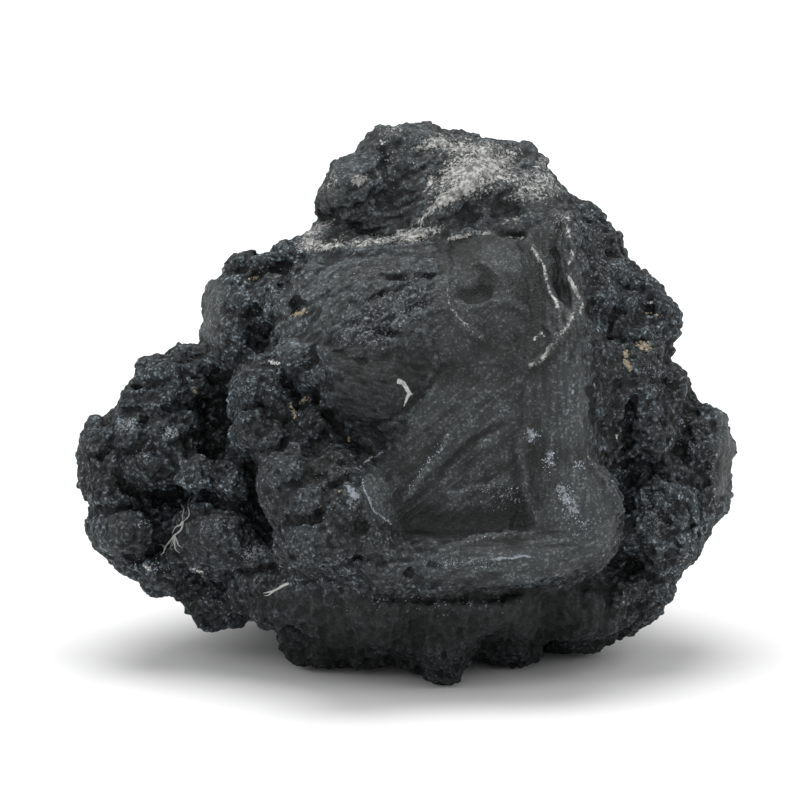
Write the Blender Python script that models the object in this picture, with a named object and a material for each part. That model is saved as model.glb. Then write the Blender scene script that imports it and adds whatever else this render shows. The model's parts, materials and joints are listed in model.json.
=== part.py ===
"""A rough howlite nodule, black with a cauliflower skin, as one solid stone.

The stone's places are given as they show in its front view, from a viewer who looks down on it
by VIEW_TILT: across and up in that view, and toward the viewer, in millimetres from a point at
the middle of the stone.
"""

import math
from collections import namedtuple

import bmesh
import bpy
import numpy as np
from mathutils import Matrix, Vector, noise

MM = 0.001

# The view that places are given in
VIEW_TILT = math.radians(12)
VIEW_DISTANCE = 900

# How finely the stone is worked, and how many triangles it ends with
ROUGH_VOXEL = 1.1
FINE_VOXEL = 0.75
BALL_DIVISIONS = 4
TRIANGLES = 9600

# How the skin is drawn onto the stone's surface, in how many steps, and how near its shape is felt
DRAWN_TIMES = 8
LONGEST_STEP = 2.0
LEAST_SLOPE = 0.2
PROBE = 0.05

# How the skin is evened out before it is cut down to fewer triangles
EVENED_TIMES = 3
EVENED_SHARE = 0.5

# The outline is drawn in this many directions, and felt from this to this share of the way out
OUTLINE_STEPS = 180
OUTLINE_FELT = (0.55, 0.97)

# How squarely the skin faces the viewer where creases, and worn patches, start and where they are full
CREASES_FACE = (0.05, 0.4)
PATCHES_FACE = (0.05, 0.35)

# How sharply creases end, and how far past their size spots reach
CREASE_POWER = 1.3
SPOT_REACH = 1.25

# A knob's dome ends at this share of its size, between knobs runs a crease, and both start from a level
DOME_REACH = 0.9
DOME_LEVEL = 0.65
KNOB_CREASE = 0.35
KNOB_CREASE_WIDTH = 0.22

# The level that the stone rests on, and how far its feet are worn off there
FLOOR = -43.1
WORN = 1.0
FOOT_REACH = 9
FOOT_HEIGHT = 10
FLAT_WITHIN = 0.12

# A power over 2 squares an ellipsoid's corners
Lump = namedtuple("Lump", "name across up toward wide high deep turn blend power", defaults=(0, 1.0, 2))
Hollow = namedtuple("Hollow", "name across up bottom wide high deep turn blend power", defaults=(0, 0.8, 2))
Stroke = namedtuple("Stroke", "name height left right points")
Spot = namedtuple("Spot", "name height across up wide high turn", defaults=(0,))
Patch = namedtuple("Patch", "name rough blur points")
Knobs = namedtuple("Knobs", "size height")

CORE = [
    Lump("heart", 4, -4, -4, 34, 30, 31),
    Lump("base", 2, -30, 0, 31, 12.5, 27),
    Lump("back_left", -19, -4, -18, 21, 22, 21),
    Lump("back_right", 21, -8, -18, 23, 23, 21),
    Lump("back_top", 7, 19, -12, 18, 16, 18),
]

CROWN = [
    Lump("crown", 11, 29, -6, 17, 14, 17, -4),
    Lump("crown_left", -7, 34.5, -1, 7.6, 7.6, 11),
    Lump("crown_knob", -1, 41, -4, 8, 5.4, 9),
    Lump("crown_top", 9, 39, -4, 8, 6, 10),
    Lump("crown_back", 18, 38, -8, 9, 6, 10),
    Lump("crown_corner", 21.5, 34, -1, 7, 6.5, 11),
    Lump("crown_ridge", 8, 32.5, 4.5, 10.5, 3.6, 9, 42, 2.5),
    Lump("crown_foot", -6.5, 27.5, -1, 8.5, 4.5, 9.5, 0, 2),
    Lump("crown_foot_right", 12, 28, 2, 12, 4, 11, 5, 2),
    Lump("drape_top", 24, 27, 4, 5.5, 8, 11, 12, 2),
]

LEFT_SHOULDER = [
    Lump("shoulder", -21, 13, -2, 12.5, 11.5, 15),
    Lump("shoulder_top", -25.5, 21, 0, 5, 4.4, 8),
    Lump("shoulder_knob", -19.8, 22.3, 3, 3.6, 3.8, 6.5),
    Lump("shoulder_step", -15, 22.6, 5, 4.6, 3.4, 6.5),
    Lump("shoulder_front", -20.5, 16.5, 8, 4.4, 4.2, 6.5),
    Lump("shoulder_side", -28, 14, 0, 5.5, 8, 9, 12),
    Lump("shoulder_low", -27.5, 8, 1, 5.4, 5.4, 9),
]

BROW = [
    Lump("brow", 0, 12, 8, 21, 14, 20),
    Lump("brow_left", -12, 15, 9, 8.5, 8.5, 13, 35),
    Lump("shelf", -4, 21, 5, 13, 6, 11, 5, 2),
    Lump("shelf_right", 14, 22.5, 5, 9.5, 6, 12, 12, 2),
    Lump("upper_panel", 17, 14.5, 8, 12, 13, 15),
    Lump("nose", -3.5, 2, 20, 9.5, 8.5, 13, -8, 2),
    Lump("nose_top", -3, 9.5, 18, 10, 6.5, 12, 20, 2),
    Lump("nose_left", -10, 4, 19.5, 4.6, 6, 9.5),
    Lump("cheek", -17.6, 7.3, 14.5, 3.7, 3.8, 9),
    Lump("cheek_inner", -13.4, 9, 17, 4, 3.6, 8),
    Lump("cheek_low", -12.6, 4.6, 19, 3.4, 3.4, 8),
    Lump("cheek_ball", -12.4, 0.3, 22, 2, 2.1, 5),
    Lump("ball", -22.8, -0.8, 11.5, 5.2, 7.8, 10),
    Lump("ball_upper", -24.3, 3.2, 13.5, 3.5, 3.8, 8.5),
    Lump("ball_right", -20.6, 0.8, 14, 3.2, 3.8, 8.5),
    Lump("ball_lower", -23.7, -4.6, 13.5, 3.9, 3.9, 8.5),
    Lump("ball_inner", -14.6, -3.8, 18, 3.1, 3.5, 8),
    Lump("ball_inner_low", -18, -5, 14.5, 3.6, 3.8, 9),
]

BELLY = [
    Lump("belly", -10.5, -18, 23, 10.5, 9.5, 14, 0, 3),
    Lump("belly_cap", -18.2, -13, 21, 6.2, 6.2, 12),
    Lump("belly_top", -9.5, -11, 21, 6, 4, 12),
    Lump("belly_low", -14, -23.7, 25, 7.5, 5.3, 12, 28, 2),
    Lump("belly_front", -8, -23.8, 27, 7.5, 5, 11, 0, 2),
    Lump("block", 12, -8, 6, 20, 20, 19.5, 0, 2, 3.2),
    Lump("slab", 14, 5, 9, 14, 14, 15.5, 0, 3, 2.6),
    Lump("slab_left", 3, -2, 12, 10, 12, 15, 0, 3),
    Lump("column", 27, -4, 15, 6.6, 22, 12.5, -2, 2, 2.8),
    Lump("column_top", 27.6, 17, 11.5, 4.2, 14, 10, -2, 2),
    Lump("column_root", 30, 14, 5, 6.5, 14, 11),
    Lump("column_foot", 29.3, -19.5, 16, 8, 9.5, 14, 0, 4, 2.8),
    Lump("rim", 14, -26.4, 19, 21, 4, 13, 1, 1.6, 2.6),
    Lump("rim_left", -3, -26.6, 21, 10, 3.8, 13.5, 0, 3),
]

RIGHT = [
    Lump("right_shoulder", 32, 16, -4, 11.5, 13, 16),
    Lump("right_knob_1", 31.5, 29, -3, 3.6, 3.6, 7),
    Lump("right_knob_2", 35.5, 26, -3, 3.5, 3.6, 7),
    Lump("right_knob_3", 34, 18.5, 6, 3, 5, 8),
    Lump("right_knob_4", 40.5, 17.5, -2, 4.6, 4.4, 9),
    Lump("right_knob_5", 42, 12.8, -1, 4.3, 3.9, 8),
    Lump("right_knob_6", 43, 9, 0, 3.7, 3.2, 8),
    Lump("right_knob_7", 41.5, 4.5, 2, 4.6, 4.2, 9),
    Lump("right_knob_8", 45.3, 2.5, -1, 3.8, 4, 8),
    Lump("right_knob_9", 41.5, -3.5, 2, 4.4, 4.8, 9),
    Lump("right_cheek", 33.8, 3.5, 7, 4.2, 9.5, 10.5),
    Lump("right_cheek_low", 34, -4.5, 6, 4.2, 5, 10),
    Lump("flank", 36, 0, -2, 11, 17, 19),
    Lump("right_lobe", 48.5, -6.5, -6, 6.6, 6.2, 11),
    Lump("fan", 42, -20, 0, 9.5, 9.5, 15),
    Lump("fan_low", 44, -25, 0, 7, 6, 13),
    Lump("fan_top", 44, -15.5, 4, 7, 3, 11),
    Lump("fan_wall", 50, -15, -7, 5.5, 8, 10),
    Lump("right_low", 38, -31, -2, 8, 7, 13),
    Lump("right_low_knob", 42.5, -29, 0, 4, 5, 10),
]

LEFT_LOBE = [
    Lump("lobe_top", -38, 2, -3, 7.5, 7, 12),
    Lump("lobe_step", -44, -1.5, -3, 6, 5.6, 11),
    Lump("lobe_main", -41.5, -8, -2, 9.5, 8, 13.5),
    Lump("lobe_bridge", -46.5, -15.5, -1, 5.5, 4.5, 9.5, 0, 1.5),
    Lump("lobe_shoulder", -34.5, -5.5, -3, 3.8, 6, 12),
    Lump("lobe_edge", -48.5, -9.5, -4, 5.2, 7.5, 10),
    Lump("lobe_low", -46, -22, 1, 6.2, 5.6, 9.5),
    Lump("lobe_middle", -36, -21.8, 1, 5.2, 5.8, 11),
    Lump("lobe_inner", -29.5, -22, 4, 7.6, 6.8, 12),
    Lump("lobe_keel", -38, -28, -3, 9.5, 4.6, 12),
    Lump("lobe_heart", -34, -15, -9, 13, 17, 13),
    Lump("lobe_knob_1", -33.5, -12.5, 9, 3.1, 2.6, 4.2),
    Lump("lobe_knob_2", -28, -14, 9, 2.9, 3.6, 4.5),
]

UNDERSIDE = [
    Lump("under", 3, -33, 1, 29, 9, 23),
    Lump("under_left", -18, -33, 6, 9, 6, 14),
    Lump("under_right", 30, -34, 4, 9, 6, 12),
    Lump("foot_left", -14.5, -38.8, 3, 7.6, 6.2, 9),
    Lump("foot_front", 5.5, -41, 11.5, 6, 5.8, 8),
    Lump("foot_right", 18, -39.8, 2, 4.6, 4.8, 9),
    Lump("foot_far", 29, -37.6, -6, 7, 4.8, 9),
    Lump("sole_back", -2, -32.5, -14, 24, 6.5, 15),
    Lump("foot_back_left", -16, -33.3, -24, 9, 4.6, 8),
    Lump("foot_back_middle", -2, -32.4, -28, 7, 4, 7),
    Lump("foot_back_right", 13, -32.8, -26, 9, 4.6, 8),
    Lump("knob_left", -29.8, -34.8, -2, 5.4, 3.8, 6, 0, 1, 2.6),
]

BACK = [
    Lump("heel", 0, -20, -27, 19, 13, 14),
    Lump("knee", 23, -5, -30, 12, 13, 11),
    Lump("elbow", -21, 3, -29, 12, 12, 10.5),
    Lump("neck", 2, 11, -27, 12, 11, 11),
    Lump("nape", 10, 27, -19, 11, 9, 10),
    Lump("hip_left", -36, -12, -15, 9, 10, 10),
    Lump("hip_right", 37, 8, -17, 8, 9, 9),
    Lump("haunch_left", -24, -24, -23, 12, 10, 12),
    Lump("haunch_right", 27, -25, -21, 12, 10, 12),
]

HOLLOWS = [
    Hollow("crown_hollow", -2.5, 33.5, 5.5, 6.5, 5, 9, 10, 1.5),
    Hollow("crown_dark", 15, 31.3, 7.5, 6, 1.9, 8, 12, 1.2),
    Hollow("panel", 11, -12, 25, 10, 10.6, 12, 0, 0.8, 3.4),
    Hollow("left_cavity", -30.2, -1, -10, 2.3, 6.5, 16, 4),
    Hollow("left_pocket", -28.5, -8.8, -4, 2.4, 2, 12),
    Hollow("right_crevice", 40, -11.3, 0, 6.5, 1.3, 14, -6),
    Hollow("right_pocket", 38, -4.5, 2, 1.3, 4.5, 10, 5),
    Hollow("right_notch", 47.5, -6.5, -4, 2.2, 1.5, 10, 20),
    Hollow("lobe_undercut", -35.5, -16.2, -1, 4.6, 0.8, 14, 3),
    Hollow("low_crevice", -41, -20, 2, 1, 3, 12, 10),
    Hollow("beside_foot", 37.5, -16, 4, 2, 3.5, 14, 30),
]

LUMPS = CORE + CROWN + LEFT_SHOULDER + BROW + BELLY + RIGHT + LEFT_LOBE + UNDERSIDE + BACK

# The stone's outline in the front view, from the left end over the crown and back underneath
OUTLINE_MIDDLE = (0, -6)
OUTLINE = [
    (-54.2, -12), (-53.5, -6), (-50, -1.7), (-46, 2), (-42, 7), (-38, 9.3), (-34.3, 9),
    (-33.8, 13), (-32, 20), (-27, 25), (-22, 25.5), (-17, 26.6), (-15, 28.5),
    (-14.6, 33), (-12, 38.5), (-7, 42), (-3.7, 45), (0.5, 46.5), (5.5, 45.8), (10, 44.2),
    (15, 44.7), (20, 43), (24, 41), (27.5, 37), (28.8, 34.2), (32.5, 32), (37, 27.3),
    (40, 22.5), (44.5, 18.6), (46.3, 14), (46.6, 8), (48.7, 3), (49.3, 0), (53, -1),
    (55.7, -6), (55.4, -12), (55, -18), (50.5, -25), (46.5, -29.5), (44, -35), (38, -38.6),
    (33, -41), (25, -43), (18.5, -44.6), (13.5, -43.5), (9, -46), (5.8, -46.8), (2, -44),
    (-5, -43.5), (-13, -44.9), (-19, -43.6), (-22.3, -39), (-26, -37.5), (-32, -38.7),
    (-35, -36.5), (-36.5, -33.6), (-43, -31.8), (-48, -28), (-51.9, -23), (-52.4, -19),
]

CREASES = [
    Stroke("crown line", -1.6, 1.6, 2.0, [(-11, 29.5), (-7, 28.8), (-2, 27.6), (0, 26.4)]),
    Stroke("shelf edge", 1.0, 2.0, 2.0, [(-15, 24.6), (-8, 25.4), (0, 25.6), (6, 26.4)]),
    Stroke("shelf crest", 1.0, 1.4, 1.8, [(7, 26.3), (12, 27.8), (16, 28.4), (20, 30.4)]),
    Stroke("drape 1", 1.3, 1.8, 1.8, [(21.5, 27), (22.5, 24.5), (24, 22), (25, 18.5), (26.5, 15)]),
    Stroke("drape 2", 1.5, 1.6, 2.0, [(28, 31), (28.3, 25), (28.2, 22), (29.6, 17.5), (30, 13)]),
    Stroke("drape 3", 1.0, 1.6, 1.6, [(28.7, 14.5), (27, 11), (25, 8.5), (21, 5)]),
    Stroke("almond rim", 0.7, 1.2, 1.2, [(12, 24.5), (14.5, 22.5), (16.5, 20.5), (18, 17.5)]),
    Stroke("column edge", 0.9, 1.2, 3.0, [(21, -6), (21, -12), (22, -18), (24, -21)]),
    Stroke("rim edge", 0.9, 1.6, 1.6, [(24, -22), (15, -22.8), (10, -23.6), (2, -25)]),
    Stroke("column side", 1.0, 2.5, 1.5, [(31.5, -9), (35.5, -15.5), (37, -21), (33, -26.6)]),
    Stroke("rim foot", 1.0, 2.0, 1.5, [(-8, -29.6), (5, -31.3), (15, -30.5), (27, -29.3)]),
    Stroke("undercut", -1.4, 1.5, 1.5, [(-2, -33.6), (8, -33.4), (18, -32.8)]),
    Stroke("panel ridge", 0.7, 2.2, 2.2, [(0, -17.5), (4, -12), (8, -7), (10, -3)]),
    Stroke("nose crack", -1.2, 1.2, 1.2, [(5.5, 3.5), (1, -1.5), (-5, -4.6), (-8.5, -7)]),
    Stroke("nose fold", -1.5, 1.6, 1.6, [(-13.8, 0.5), (-12, -3), (-8.5, -7), (-4, -7.5)]),
    Stroke("belly fold", -1.5, 1.6, 1.6, [(-19, -20.5), (-13, -19.5), (-10, -13), (-6, -11)]),
    Stroke("belly break", -1.2, 1.5, 1.5, [(-23, -13.2), (-17, -13), (-14.5, -14.5)]),
    Stroke("lobe fold 1", -1.0, 1.3, 1.3, [(-45, 3.2), (-40, 4.2), (-34, 3.5)]),
    Stroke("lobe fold 2", -1.0, 1.3, 1.3, [(-47, -0.4), (-41, 1), (-35, 0.4)]),
    Stroke("lobe fold 3", -1.1, 1.3, 1.3, [(-50, -4.6), (-43, -3), (-36, -3.4)]),
    Stroke("lobe split", -1.2, 1.5, 1.5, [(-46, -5), (-45.3, -10), (-47, -15)]),
    Stroke("fan rib 1", 0.9, 1.5, 1.5, [(40, -13.5), (45, -19), (48, -25)]),
    Stroke("fan rib 2", 0.9, 1.5, 1.5, [(39.5, -14), (42, -21), (43, -28)]),
    Stroke("fan edge", 1.2, 2.0, 1.2, [(52.3, -15), (50.8, -20), (48.5, -25), (46, -28.5)]),
]

SPOTS = [
    Spot("almond", -1.6, 12.5, 17.5, 3.8, 1.9, 15),
    Spot("upper panel", -0.8, 20.5, 19, 4.5, 6, 10),
    Spot("shoulder slot", -1.8, -20, 21.5, 2.4, 1.2, 20),
    Spot("shoulder pit", -1.6, -24.5, 14, 1.8, 2.2),
    Spot("shoulder dip", -1.8, -23.5, 8.8, 2.5, 1.8),
    Spot("belly pit", -1.4, -6.5, -21, 1.6, 1.8),
    Spot("rim pit", -1.3, 2, -28.8, 2, 1.2),
    Spot("rim pit right", -1.2, 6.5, -28, 1.6, 1.2),
    Spot("low hollow", -2.2, 39, -28, 2.6, 2.6),
    Spot("low peak", 1.5, 37.5, -33.5, 1.8, 1.8),
]

# Where the skin is worn smooth: rough is the share of the knobs that is left
PATCHES = [
    Patch("worn face", 0.05, 1.5, [
        (6, 27), (15, 28), (27, 31), (29.5, 24), (31, 12), (31.5, -8), (36, -16), (37, -23),
        (31, -29), (16, -31), (-3, -30), (-4, -26), (5, -24), (-5, -20), (-7, -14),
        (-2, -9), (2, -1), (6, 4), (4, 12), (5, 20),
    ]),
    Patch("nose", 0.35, 2.5, [(-12, 9), (-11, -4), (-4, -8), (6, 3), (5, 20), (-8, 15)]),
    Patch("brow", 0.15, 2.0, [(-19, 8), (-12, 9), (-8, 15), (5, 20), (6, 27), (-14, 25), (-21, 14)]),
    Patch("crown", 0.4, 2.0, [(-15, 26), (6, 27), (27, 31), (28, 48), (-16, 48)]),
    Patch("under", 0.4, 3.0, [(-20, -32), (0, -32), (34, -31), (36, -38), (20, -41), (-14, -41)]),
    Patch("flank", 0.15, 1.5, [(-34, 8), (-30.5, 8), (-29, 19), (-33, 22)]),
    Patch("fan", 0.6, 2.0, [(38, -14), (46, -13), (56, -16), (56, -22), (47, -30), (40, -26)]),
    Patch("right wall", 0.2, 1.5, [(53, -1), (57, -5), (57, -16), (52, -16), (52.5, -8)]),
]

KNOBS = [Knobs(7.5, 2.8), Knobs(4.4, 1.0)]

# The front view's own directions, in the stone's frame
ACROSS = np.array([1, 0, 0])
UP = np.array([0, math.sin(VIEW_TILT), math.cos(VIEW_TILT)])
TOWARD = np.array([0, -math.cos(VIEW_TILT), math.sin(VIEW_TILT)])


def placed(across, up, toward):
    """Where in the stone's frame something lies that shows at this place in the front view."""
    nearness = 1 - np.asarray(toward) / VIEW_DISTANCE
    return (
        np.multiply.outer(nearness * across, ACROSS)
        + np.multiply.outer(nearness * up, UP)
        + np.multiply.outer(toward, TOWARD)
    )


def seen(points):
    """How far across, up and toward the viewer each point shows in the front view."""
    toward = points @ TOWARD
    nearness = 1 - toward / VIEW_DISTANCE
    return points @ ACROSS / nearness, points @ UP / nearness, toward


def smooth_step(value, low, high):
    t = np.clip((value - low) / (high - low), 0, 1)
    return t * t * (3 - 2 * t)


def axes(turn):
    """An ellipsoid's own directions, turned counterclockwise in the view, as columns."""
    c, s = math.cos(math.radians(turn)), math.sin(math.radians(turn))
    return np.column_stack([c * ACROSS + s * UP, c * UP - s * ACROSS, TOWARD])


def ellipsoid(points, centre, sizes, turn, power):
    """About how far outside an ellipsoid each point is."""
    local = abs((points - centre) @ axes(turn)) / sizes + 1e-6
    near = (local**power).sum(axis=1) ** (1 / power)
    slope = np.linalg.norm(local ** (power - 1) / sizes, axis=1) * near ** (1 - power)
    return (near - 1) / slope


def soft_min(a, b, blend):
    share = np.clip(0.5 + 0.5 * (b - a) / blend, 0, 1)
    return b + (a - b) * share - blend * share * (1 - share)


def stone(points):
    """About how far outside the stone each point is: its lumps fused, and its hollows sunk."""
    outside = np.full(len(points), 1e3)
    for lump in LUMPS:
        centre = placed(lump.across, lump.up, lump.toward)
        sizes = np.array([lump.wide, lump.high, lump.deep], float)
        lump_outside = ellipsoid(points, centre, sizes, lump.turn, lump.power)
        outside = soft_min(outside, lump_outside, lump.blend)
    for hollow in HOLLOWS:
        centre = placed(hollow.across, hollow.up, hollow.bottom + hollow.deep)
        sizes = np.array([hollow.wide, hollow.high, hollow.deep], float)
        hollow_outside = ellipsoid(points, centre, sizes, hollow.turn, hollow.power)
        outside = -soft_min(-outside, hollow_outside, hollow.blend)
    return outside


def drawn_to_stone(points):
    """The points moved until they lie on the stone's surface."""
    for _ in range(DRAWN_TIMES):
        here = stone(points)
        slope = np.column_stack([(stone(points + PROBE * way) - here) / PROBE for way in np.eye(3)])
        step = here / np.maximum((slope**2).sum(axis=1), LEAST_SLOPE)
        points = points - np.clip(step, -LONGEST_STEP, LONGEST_STEP)[:, None] * slope
    return points


def drawn_to_outline(points):
    """The points moved across the view, so that the stone shows the outline that it should."""
    across, up, toward = seen(points)
    across, up = across - OUTLINE_MIDDLE[0], up - OUTLINE_MIDDLE[1]
    angle, radius = np.arctan2(up, across), np.hypot(across, up)
    turns = np.linspace(-math.pi, math.pi, OUTLINE_STEPS + 1)
    nearest = np.rint((angle + math.pi) / (2 * math.pi) * OUTLINE_STEPS).astype(int)
    reach = np.zeros(OUTLINE_STEPS + 1)
    np.maximum.at(reach, nearest, radius)
    reach[0] = reach[-1] = max(reach[0], reach[-1])
    drawn = np.array(OUTLINE, float) - OUTLINE_MIDDLE
    drawn_angle, drawn_radius = np.arctan2(drawn[:, 1], drawn[:, 0]), np.hypot(*drawn.T)
    wanted = np.interp(angle, *sorted_round(drawn_angle, drawn_radius))
    model = np.interp(angle, turns, reach)
    share = smooth_step(radius / model, *OUTLINE_FELT)
    grow = 1 + share * (wanted / model - 1)
    return placed(across * grow + OUTLINE_MIDDLE[0], up * grow + OUTLINE_MIDDLE[1], toward)


def sorted_round(angle, radius):
    """Angles and radii in order, with one turn more on both sides so that they can be read anywhere."""
    order = np.argsort(angle)
    angle, radius = angle[order], radius[order]
    turn = 2 * math.pi
    return np.concatenate([angle - turn, angle, angle + turn]), np.tile(radius, 3)


def remeshed(mesh, voxel):
    """The skin of the mesh again, in faces of one size."""
    obj = bpy.data.objects.new("working", mesh)
    remesh = obj.modifiers.new("even skin", "REMESH")
    remesh.mode = "VOXEL"
    remesh.voxel_size = voxel * MM
    return applied(obj)


def decimated(mesh, triangles):
    """The mesh evened out a little, as about this many triangles, fewest where the skin is flat."""
    obj = bpy.data.objects.new("working", mesh)
    smoothing = obj.modifiers.new("smoothing", "SMOOTH")
    smoothing.factor = EVENED_SHARE
    smoothing.iterations = EVENED_TIMES
    obj.modifiers.new("triangles", "TRIANGULATE")
    mesh.calc_loop_triangles()
    obj.modifiers.new("fewer", "DECIMATE").ratio = triangles / len(mesh.loop_triangles)
    return applied(obj)


def applied(obj):
    """The object's mesh as its modifiers leave it. The object goes."""
    bpy.context.scene.collection.objects.link(obj)
    graph = bpy.context.evaluated_depsgraph_get()
    made = bpy.data.meshes.new_from_object(obj.evaluated_get(graph))
    bpy.data.objects.remove(obj)
    return made


def points_of(mesh):
    points = np.empty(len(mesh.vertices) * 3, np.float32)
    mesh.vertices.foreach_get("co", points)
    return points.reshape(-1, 3).astype(float) / MM


def set_points(mesh, points):
    mesh.vertices.foreach_set("co", (points * MM).astype(np.float32).ravel())
    mesh.update()


def normals_of(mesh):
    normals = np.empty(len(mesh.vertices) * 3, np.float32)
    mesh.vertex_normals.foreach_get("vector", normals)
    return normals.reshape(-1, 3).astype(float)


def signed_distance_to_line(across, up, line):
    """How far each place is from a line of points, above 0 on the left of its way."""
    nearest = np.full(len(across), 1e3)
    side = np.ones(len(across))
    for (x0, y0), (x1, y1) in zip(line, line[1:]):
        dx, dy = x1 - x0, y1 - y0
        along = np.clip(((across - x0) * dx + (up - y0) * dy) / (dx * dx + dy * dy), 0, 1)
        away_x, away_y = across - x0 - along * dx, up - y0 - along * dy
        distance = np.hypot(away_x, away_y)
        closer = distance < nearest
        nearest = np.where(closer, distance, nearest)
        side = np.where(closer, np.sign(dx * away_y - dy * away_x), side)
    return nearest * np.where(side == 0, 1, side)


def inside_patch(across, up, points):
    """How far inside a closed outline each place is, and below 0 outside it."""
    crossings = np.zeros(len(across), bool)
    nearest = np.full(len(across), 1e3)
    for (x0, y0), (x1, y1) in zip(points, points[1:] + points[:1]):
        if y0 != y1:
            spans = (y0 > up) != (y1 > up)
            crossings ^= spans & (across < (x1 - x0) * (up - y0) / (y1 - y0) + x0)
        nearest = np.minimum(nearest, abs(signed_distance_to_line(across, up, [(x0, y0), (x1, y1)])))
    return np.where(crossings, nearest, -nearest)


def creased(mesh):
    """Raises and sinks the named creases and spots on the side that the viewer sees."""
    points, normals = points_of(mesh), normals_of(mesh)
    across, up, _ = seen(points)
    facing = smooth_step(normals @ TOWARD, *CREASES_FACE)
    lift = np.zeros(len(points))
    for crease in CREASES:
        offset = signed_distance_to_line(across, up, crease.points)
        share = np.abs(offset) / np.where(offset > 0, crease.left, crease.right)
        lift += crease.height * np.clip(1 - share, 0, 1) ** CREASE_POWER
    for spot in SPOTS:
        c, s = math.cos(math.radians(spot.turn)), math.sin(math.radians(spot.turn))
        x, y = across - spot.across, up - spot.up
        share = np.hypot((c * x + s * y) / spot.wide, (c * y - s * x) / spot.high)
        lift += spot.height * smooth_step(SPOT_REACH - share, 0, 1)
    set_points(mesh, points + (facing * lift)[:, None] * normals)


def roughness(mesh):
    """The share of the knobs that each point has: all, but for where the skin is worn."""
    points, normals = points_of(mesh), normals_of(mesh)
    across, up, _ = seen(points)
    facing = smooth_step(normals @ TOWARD, *PATCHES_FACE)
    rough = np.ones(len(points))
    for patch in PATCHES:
        share = smooth_step(inside_patch(across, up, patch.points), -patch.blur, patch.blur)
        rough += share * facing * (patch.rough - rough)
    return rough


def knobbled(mesh):
    """Raises the round knobs of a cauliflower skin, large ones and then small ones on them."""
    rough = roughness(mesh)
    for knobs in KNOBS:
        points = points_of(mesh)
        near, next_near = np.array([noise.voronoi(Vector(p / knobs.size))[0][:2] for p in points]).T
        dome = np.clip(1 - (near / DOME_REACH) ** 2, 0, 1)
        crease = 1 - smooth_step(next_near - near, 0, KNOB_CREASE_WIDTH)
        lift = knobs.height * rough * (dome - DOME_LEVEL - KNOB_CREASE * crease)
        set_points(mesh, points + lift[:, None] * normals_of(mesh))


def footed(mesh):
    """Brings each foot down through the floor by as much as is worn off it."""
    points = points_of(mesh)
    for foot in UNDERSIDE:
        if not foot.name.startswith("foot"):
            continue
        x, y, _ = placed(foot.across, foot.up, foot.toward)
        away = np.hypot(points[:, 0] - x, points[:, 1] - y)
        lowest = points[away < FOOT_REACH / 2, 2].min()
        share = 1 - smooth_step(away, FOOT_REACH / 2, FOOT_REACH)
        share *= 1 - smooth_step(points[:, 2] - lowest, 0, FOOT_HEIGHT)
        points[:, 2] += share * (FLOOR - WORN - lowest)
    set_points(mesh, points)


def worn_flat(mesh):
    """Cuts the feet off flat at the floor."""
    bm = bmesh.new()
    bm.from_mesh(mesh)
    bmesh.ops.bisect_plane(
        bm,
        geom=bm.verts[:] + bm.edges[:] + bm.faces[:],
        dist=FLAT_WITHIN * MM,
        plane_co=(0, 0, FLOOR * MM),
        plane_no=(0, 0, -1),
        clear_outer=True,
    )
    bmesh.ops.holes_fill(bm, edges=[edge for edge in bm.edges if edge.is_boundary], sides=0)
    bmesh.ops.triangulate(bm, faces=bm.faces[:])
    bmesh.ops.recalc_face_normals(bm, faces=bm.faces[:])
    bm.to_mesh(mesh)
    bm.free()


def stood_on_origin(mesh):
    """Moves the stone to stand on its origin."""
    points = points_of(mesh)
    middle = (points.min(axis=0) + points.max(axis=0)) / 2
    points -= [middle[0], middle[1], FLOOR]
    points[abs(points[:, 2]) < FLAT_WITHIN, 2] = 0
    set_points(mesh, points)


def lumps_mesh():
    """The lumps as separate balls in one mesh."""
    bm = bmesh.new()
    for lump in LUMPS:
        turned = Matrix([list(row) for row in axes(lump.turn)]).to_4x4()
        place = Matrix.Translation(Vector(placed(lump.across, lump.up, lump.toward)) * MM)
        sizes = Matrix.Diagonal((lump.wide * MM, lump.high * MM, lump.deep * MM, 1))
        bmesh.ops.create_icosphere(bm, subdivisions=BALL_DIVISIONS, radius=1, matrix=place @ turned @ sizes)
    mesh = bpy.data.meshes.new("lumps")
    bm.to_mesh(mesh)
    bm.free()
    return mesh


def black_howlite():
    material = bpy.data.materials.new("black_howlite")
    material.use_nodes = True
    shader = material.node_tree.nodes["Principled BSDF"]
    shader.inputs["Base Color"].default_value = (0.035, 0.04, 0.041, 1)
    shader.inputs["Roughness"].default_value = 0.62
    return material


def main():
    for obj in list(bpy.data.objects):
        bpy.data.objects.remove(obj)
    mesh = remeshed(lumps_mesh(), ROUGH_VOXEL)
    set_points(mesh, drawn_to_outline(drawn_to_stone(points_of(mesh))))
    mesh = remeshed(mesh, FINE_VOXEL)
    knobbled(mesh)
    creased(mesh)
    footed(mesh)
    mesh = remeshed(mesh, FINE_VOXEL)
    mesh = decimated(mesh, TRIANGLES)
    worn_flat(mesh)
    stood_on_origin(mesh)
    nodule = bpy.data.objects.new("howlite_nodule", mesh)
    bpy.context.scene.collection.objects.link(nodule)
    mesh.materials.append(black_howlite())
    mesh.shade_smooth()


main()
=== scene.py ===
"""A rough black howlite nodule, finished: its knobbly skin, the dust and frost on it, its painted shade,
highlights and glints, the pale fibre, chip, sliver, crumbs, crystals and grains that lie on it, and a white
table under soft light.

Places on the stone are given as they show in its front view: across and up in that view, and toward
the viewer, in millimetres from the stone's middle. Objects are in metres, as the frame is.
"""

import itertools
import json
import math
from collections import namedtuple

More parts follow.
